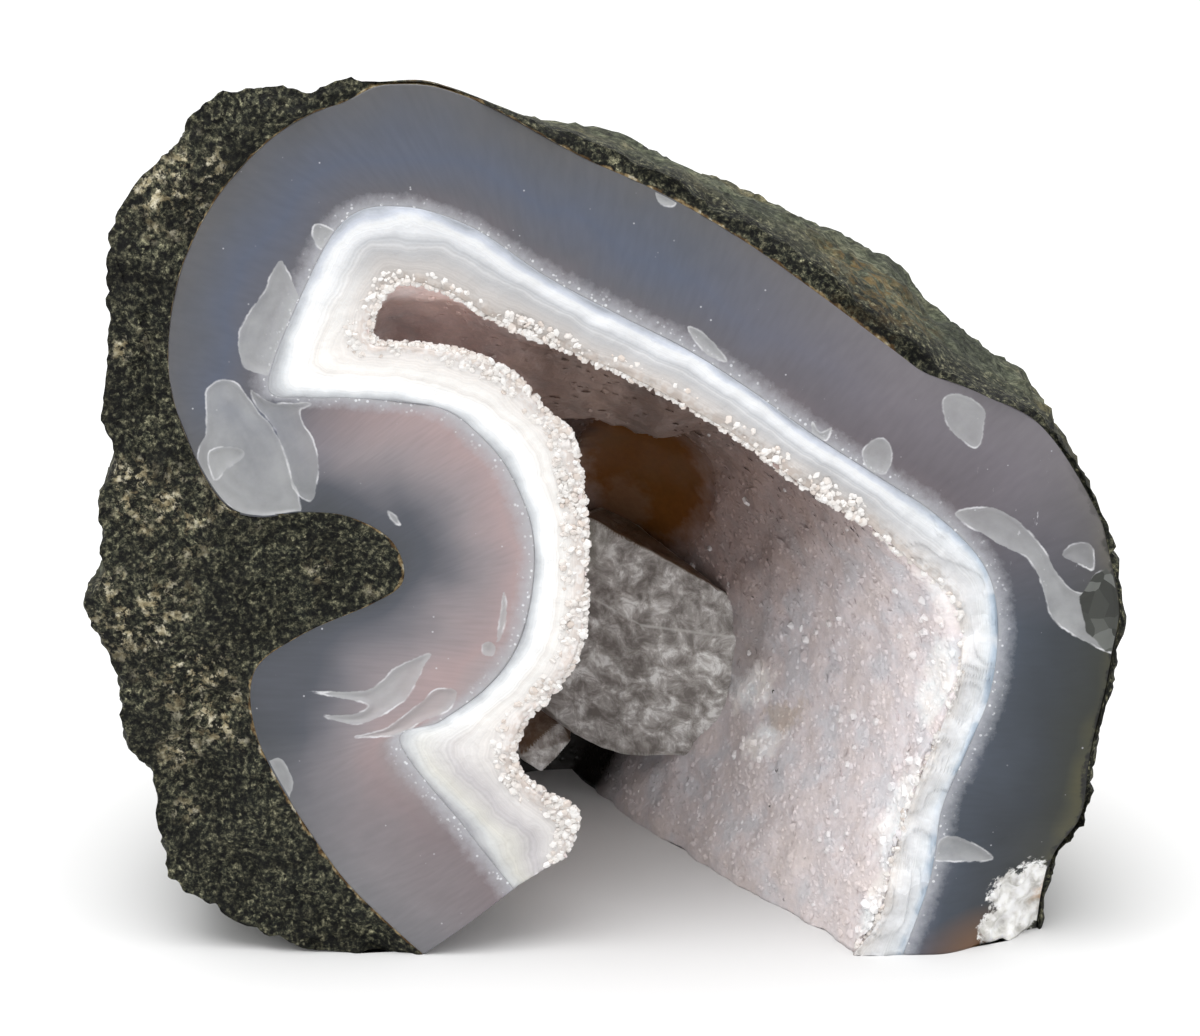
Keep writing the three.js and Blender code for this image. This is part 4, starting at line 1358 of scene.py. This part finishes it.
# %% Lip grains
LIP_COUNT = 5400
station = RNG.uniform(0.05, LAST_STATION - 0.05, LIP_COUNT)
edge_in = druse_wall(station, np.zeros(LIP_COUNT))
edge_out = band_side(station, np.zeros(LIP_COUNT))
from_edge = 2.4 * RNG.uniform(0, 1, LIP_COUNT) ** 1.5 - 0.25
share = 1 - from_edge / np.linalg.norm(edge_out - edge_in, axis=1)
places = edge_out + (edge_in - edge_out) * share[:, None]
places[:, 1] = face_relief(places[:, 0], places[:, 2]) + RNG.uniform(-0.05, 0.45, LIP_COUNT)
directions = np.array([0, -1.0, 0]) + RNG.normal(0, 0.5, (LIP_COUNT, 3))
radii = RNG.uniform(0.2, 0.48, LIP_COUNT)
# On the right the grains are few and stay at the lip, and over the top their belt is narrow
few = (station > 25) & ((RNG.uniform(0, 1, LIP_COUNT) < 0.6) | (from_edge > 0.4))
narrow = (station > 16) & (from_edge > 1.6)
keep = (places[:, 2] > 0.6) & ~(few | narrow)
lengths = radii * RNG.uniform(0.4, 0.8, LIP_COUNT)
tones = {"tone": RNG.uniform(0, 1, keep.sum())}
chosen = places[keep], directions[keep], radii[keep], lengths[keep]
lip = crystals_object("lip_grains", (PRISM, PRISM_FACES), *chosen, tones)


def lip_finish():
    """Cream to white grains."""
    cream = Finish("cream_quartz_grains")
    body = cream.ramp(
        cream.value("tone"), (0.0, (0.58, 0.51, 0.46)), (0.2, (0.64, 0.595, 0.56)),
        (0.6, (0.69, 0.665, 0.64)), (1.0, (0.74, 0.725, 0.71)),
    )
    return cream.dress(
        Base_Color=body, Roughness=0.26, Specular_IOR_Level=0.5,
    )


finished(lip, lip_finish(), None)
print("lip:", keep.sum(), "grains")

# %% [markdown]
# ## The calcite crystal
# A grey, cloudy crystal stands on the back wall, with flat cleavage faces. A flat-faced
# crystal is where several half spaces meet, so its surface seen from a point inside is the
# nearest plane in each direction. That is one formula over a grid of directions, and a soft
# minimum instead of a hard one rounds the edges a little. The faces that look up are clear,
# so they are painted amber, as if the pocket showed through them, and each point carries how
# far its face looks up.

# %% Calcite shape
CALCITE_CORNERS = [
    (-1.8, 34, 33.9), (3.6, 33.5, 31.1), (13.9, 29.5, 26.2), (16.1, 27.5, 22.4), (14.1, 27.5, 15.5),
    (9.6, 30.5, 8.1), (2.1, 32, 7.5), (-2.6, 34, 8.9), (-7, 35, 13.1), (-8, 33, 29),
    (4.4, 28.6, 23.5), (1, 40, 33), (14, 34, 24), (10, 37, 8), (-8, 43, 9), (-8, 43, 29),
]
SMALL_CALCITE_CORNERS = [
    (-9, 38, 8.3), (-4.2, 37, 9.4), (-2.9, 36, 7.5), (-6.1, 35, 4.5), (-8.4, 35, 6.4),
    (-11, 43, 5), (-3, 43, 11), (-9, 42, 12),
]


# Two of the hull's triangles are one flat face when the cosine between them is at least this
SAME_FACE = 0.96


def hull_planes(corners, centre):
    """The flat faces round the corners: each a normal, and its distance from the centre."""
    shape = bmesh.new()
    for corner in corners:
        shape.verts.new(corner)
    bmesh.ops.convex_hull(shape, input=shape.verts)
    shape.normal_update()
    planes = []
    for face in shape.faces:
        planes.append((*face.normal, face.normal.dot(face.verts[0].co - Vector(centre))))
    shape.free()
    planes = np.array(planes)
    planes[planes[:, 3] < 0] *= -1
    return np.unique(planes.round(2), axis=0)


def crystal_block(name, corners, softness, relief, rows, seed):
    """Reach in each direction: the soft least of distance over cosine, for all planes ahead.
    A point is on a ridge where the nearest plane that is a different face is as near."""
    centre = np.mean(corners, axis=0)
    planes = hull_planes(corners, centre)
    normals = planes[:, :3]
    polar = np.linspace(0, np.pi, rows)
    turn = np.linspace(0, 2 * np.pi, 2 * rows, endpoint=False)
    polar, turn = np.meshgrid(polar, turn, indexing="ij")
    sideways = np.sin(polar)
    ray = np.stack([sideways * np.cos(turn), sideways * np.sin(turn), np.cos(polar)], -1)
    nearness = np.clip(ray @ normals.T, 1e-3, None) / planes[:, 3]
    reach = (nearness ** (1 / softness)).sum(-1) ** -softness
    first = nearness.argmax(-1)
    differs = (normals @ normals.T)[first] < SAME_FACE
    next_face = np.where(differs, nearness, 0).max(-1)
    ridge = smooth((next_face / nearness.max(-1) - 0.985) / 0.012)
    upwards = planes[first, 2]
    points = centre + ray * reach[..., None]
    growth = relief * (rough(points, 3.2, 5, seed) - 0.3)
    points += ray * growth[..., None]
    index = np.arange(polar.size).reshape(polar.shape)
    index[0], index[-1] = index[0, 0], index[-1, 0]
    a, b = index[:-1], index[1:]
    c, d = np.roll(b, -1, 1), np.roll(a, -1, 1)
    quads = np.stack([a, b, c, d], -1)[1:-1].reshape(-1, 4)
    caps = np.concatenate([np.stack([a, b, c], -1)[0], np.stack([a, b, d], -1)[-1]])
    print(f"{name} has {len(planes)} flat faces")
    return joined_object(name, points, quads, caps, {"ridge": ridge, "upwards": upwards})


calcite = crystal_block(
    "calcite", CALCITE_CORNERS, softness=0.012, relief=0.22, rows=210, seed=40.0,
)
calcite_small = crystal_block(
    "calcite_small", SMALL_CALCITE_CORNERS, softness=0.03, relief=0.2, rows=70, seed=44.0,
)


def calcite_finish():
    """Cloudy grey, white feathery growth, pale ridges, and painted see-through amber on faces that
    look up.
    """
    stone = Finish("cloudy_grey_calcite")
    clumps = stone.noise(2.0, detail=9, roughness=0.7, distortion=0.45)
    broad = stone.patchy(5, 0.35, 0.65, -0.07, 0.07, detail=3)
    cloud = stone.sums("ADD", clumps, broad)
    body = stone.ramp(
        cloud, (0.37, (0.2, 0.18, 0.165)), (0.46, (0.33, 0.305, 0.285)),
        (0.54, (0.5, 0.475, 0.455)), (0.63, (0.86, 0.85, 0.83)),
    )
    clear = stone.ramp(cloud, (0.35, (0.25, 0.24, 0.2)), (0.65, (0.46, 0.45, 0.4)))
    body = stone.mix(stone.times(spot(stone, (-4, 33, 32), 6), 0.8), body, clear)
    # Painted see-through: faces that look up take the dark amber of the pocket, as if seen through
    # the clear crystal.
    body = stone.mix(
        stone.span(stone.value("upwards"), 0.45, 0.6, 0.0, 0.85), body, (0.11, 0.05, 0.014),
    )
    body = stone.mix(stone.times(stone.value("ridge"), 0.5), body, (0.68, 0.67, 0.64))
    relief = stone.bump(stone.noise(0.9, detail=6, roughness=0.7), 0.25, 0.6)
    return stone.dress(
        Base_Color=body, Roughness=0.36, Specular_IOR_Level=0.5, Normal=relief,
        Subsurface_Weight=0.3, Subsurface_Radius=(1.0, 1.0, 0.9), Subsurface_Scale=MM,
    )


cloudy = calcite_finish()
finished(calcite, cloudy, "calcite_crystal")
finished(calcite_small, cloudy, None)

# %% [markdown]
# ## Sizes and the end
# The visible model is meant to stay where the solids are. We take the box of the solids and
# the box of what is seen, and print the size of what is seen.

# %% Finish
seen_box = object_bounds()
boxes = {
    "cad": [[float(n) for n in corner] for corner in cad_box],
    "seen": [[float(n) for n in corner] for corner in seen_box],
}
seen_size = [round((high - low) / MM, 1) for low, high in zip(*boxes["seen"])]
print("seen size, mm:", seen_size)
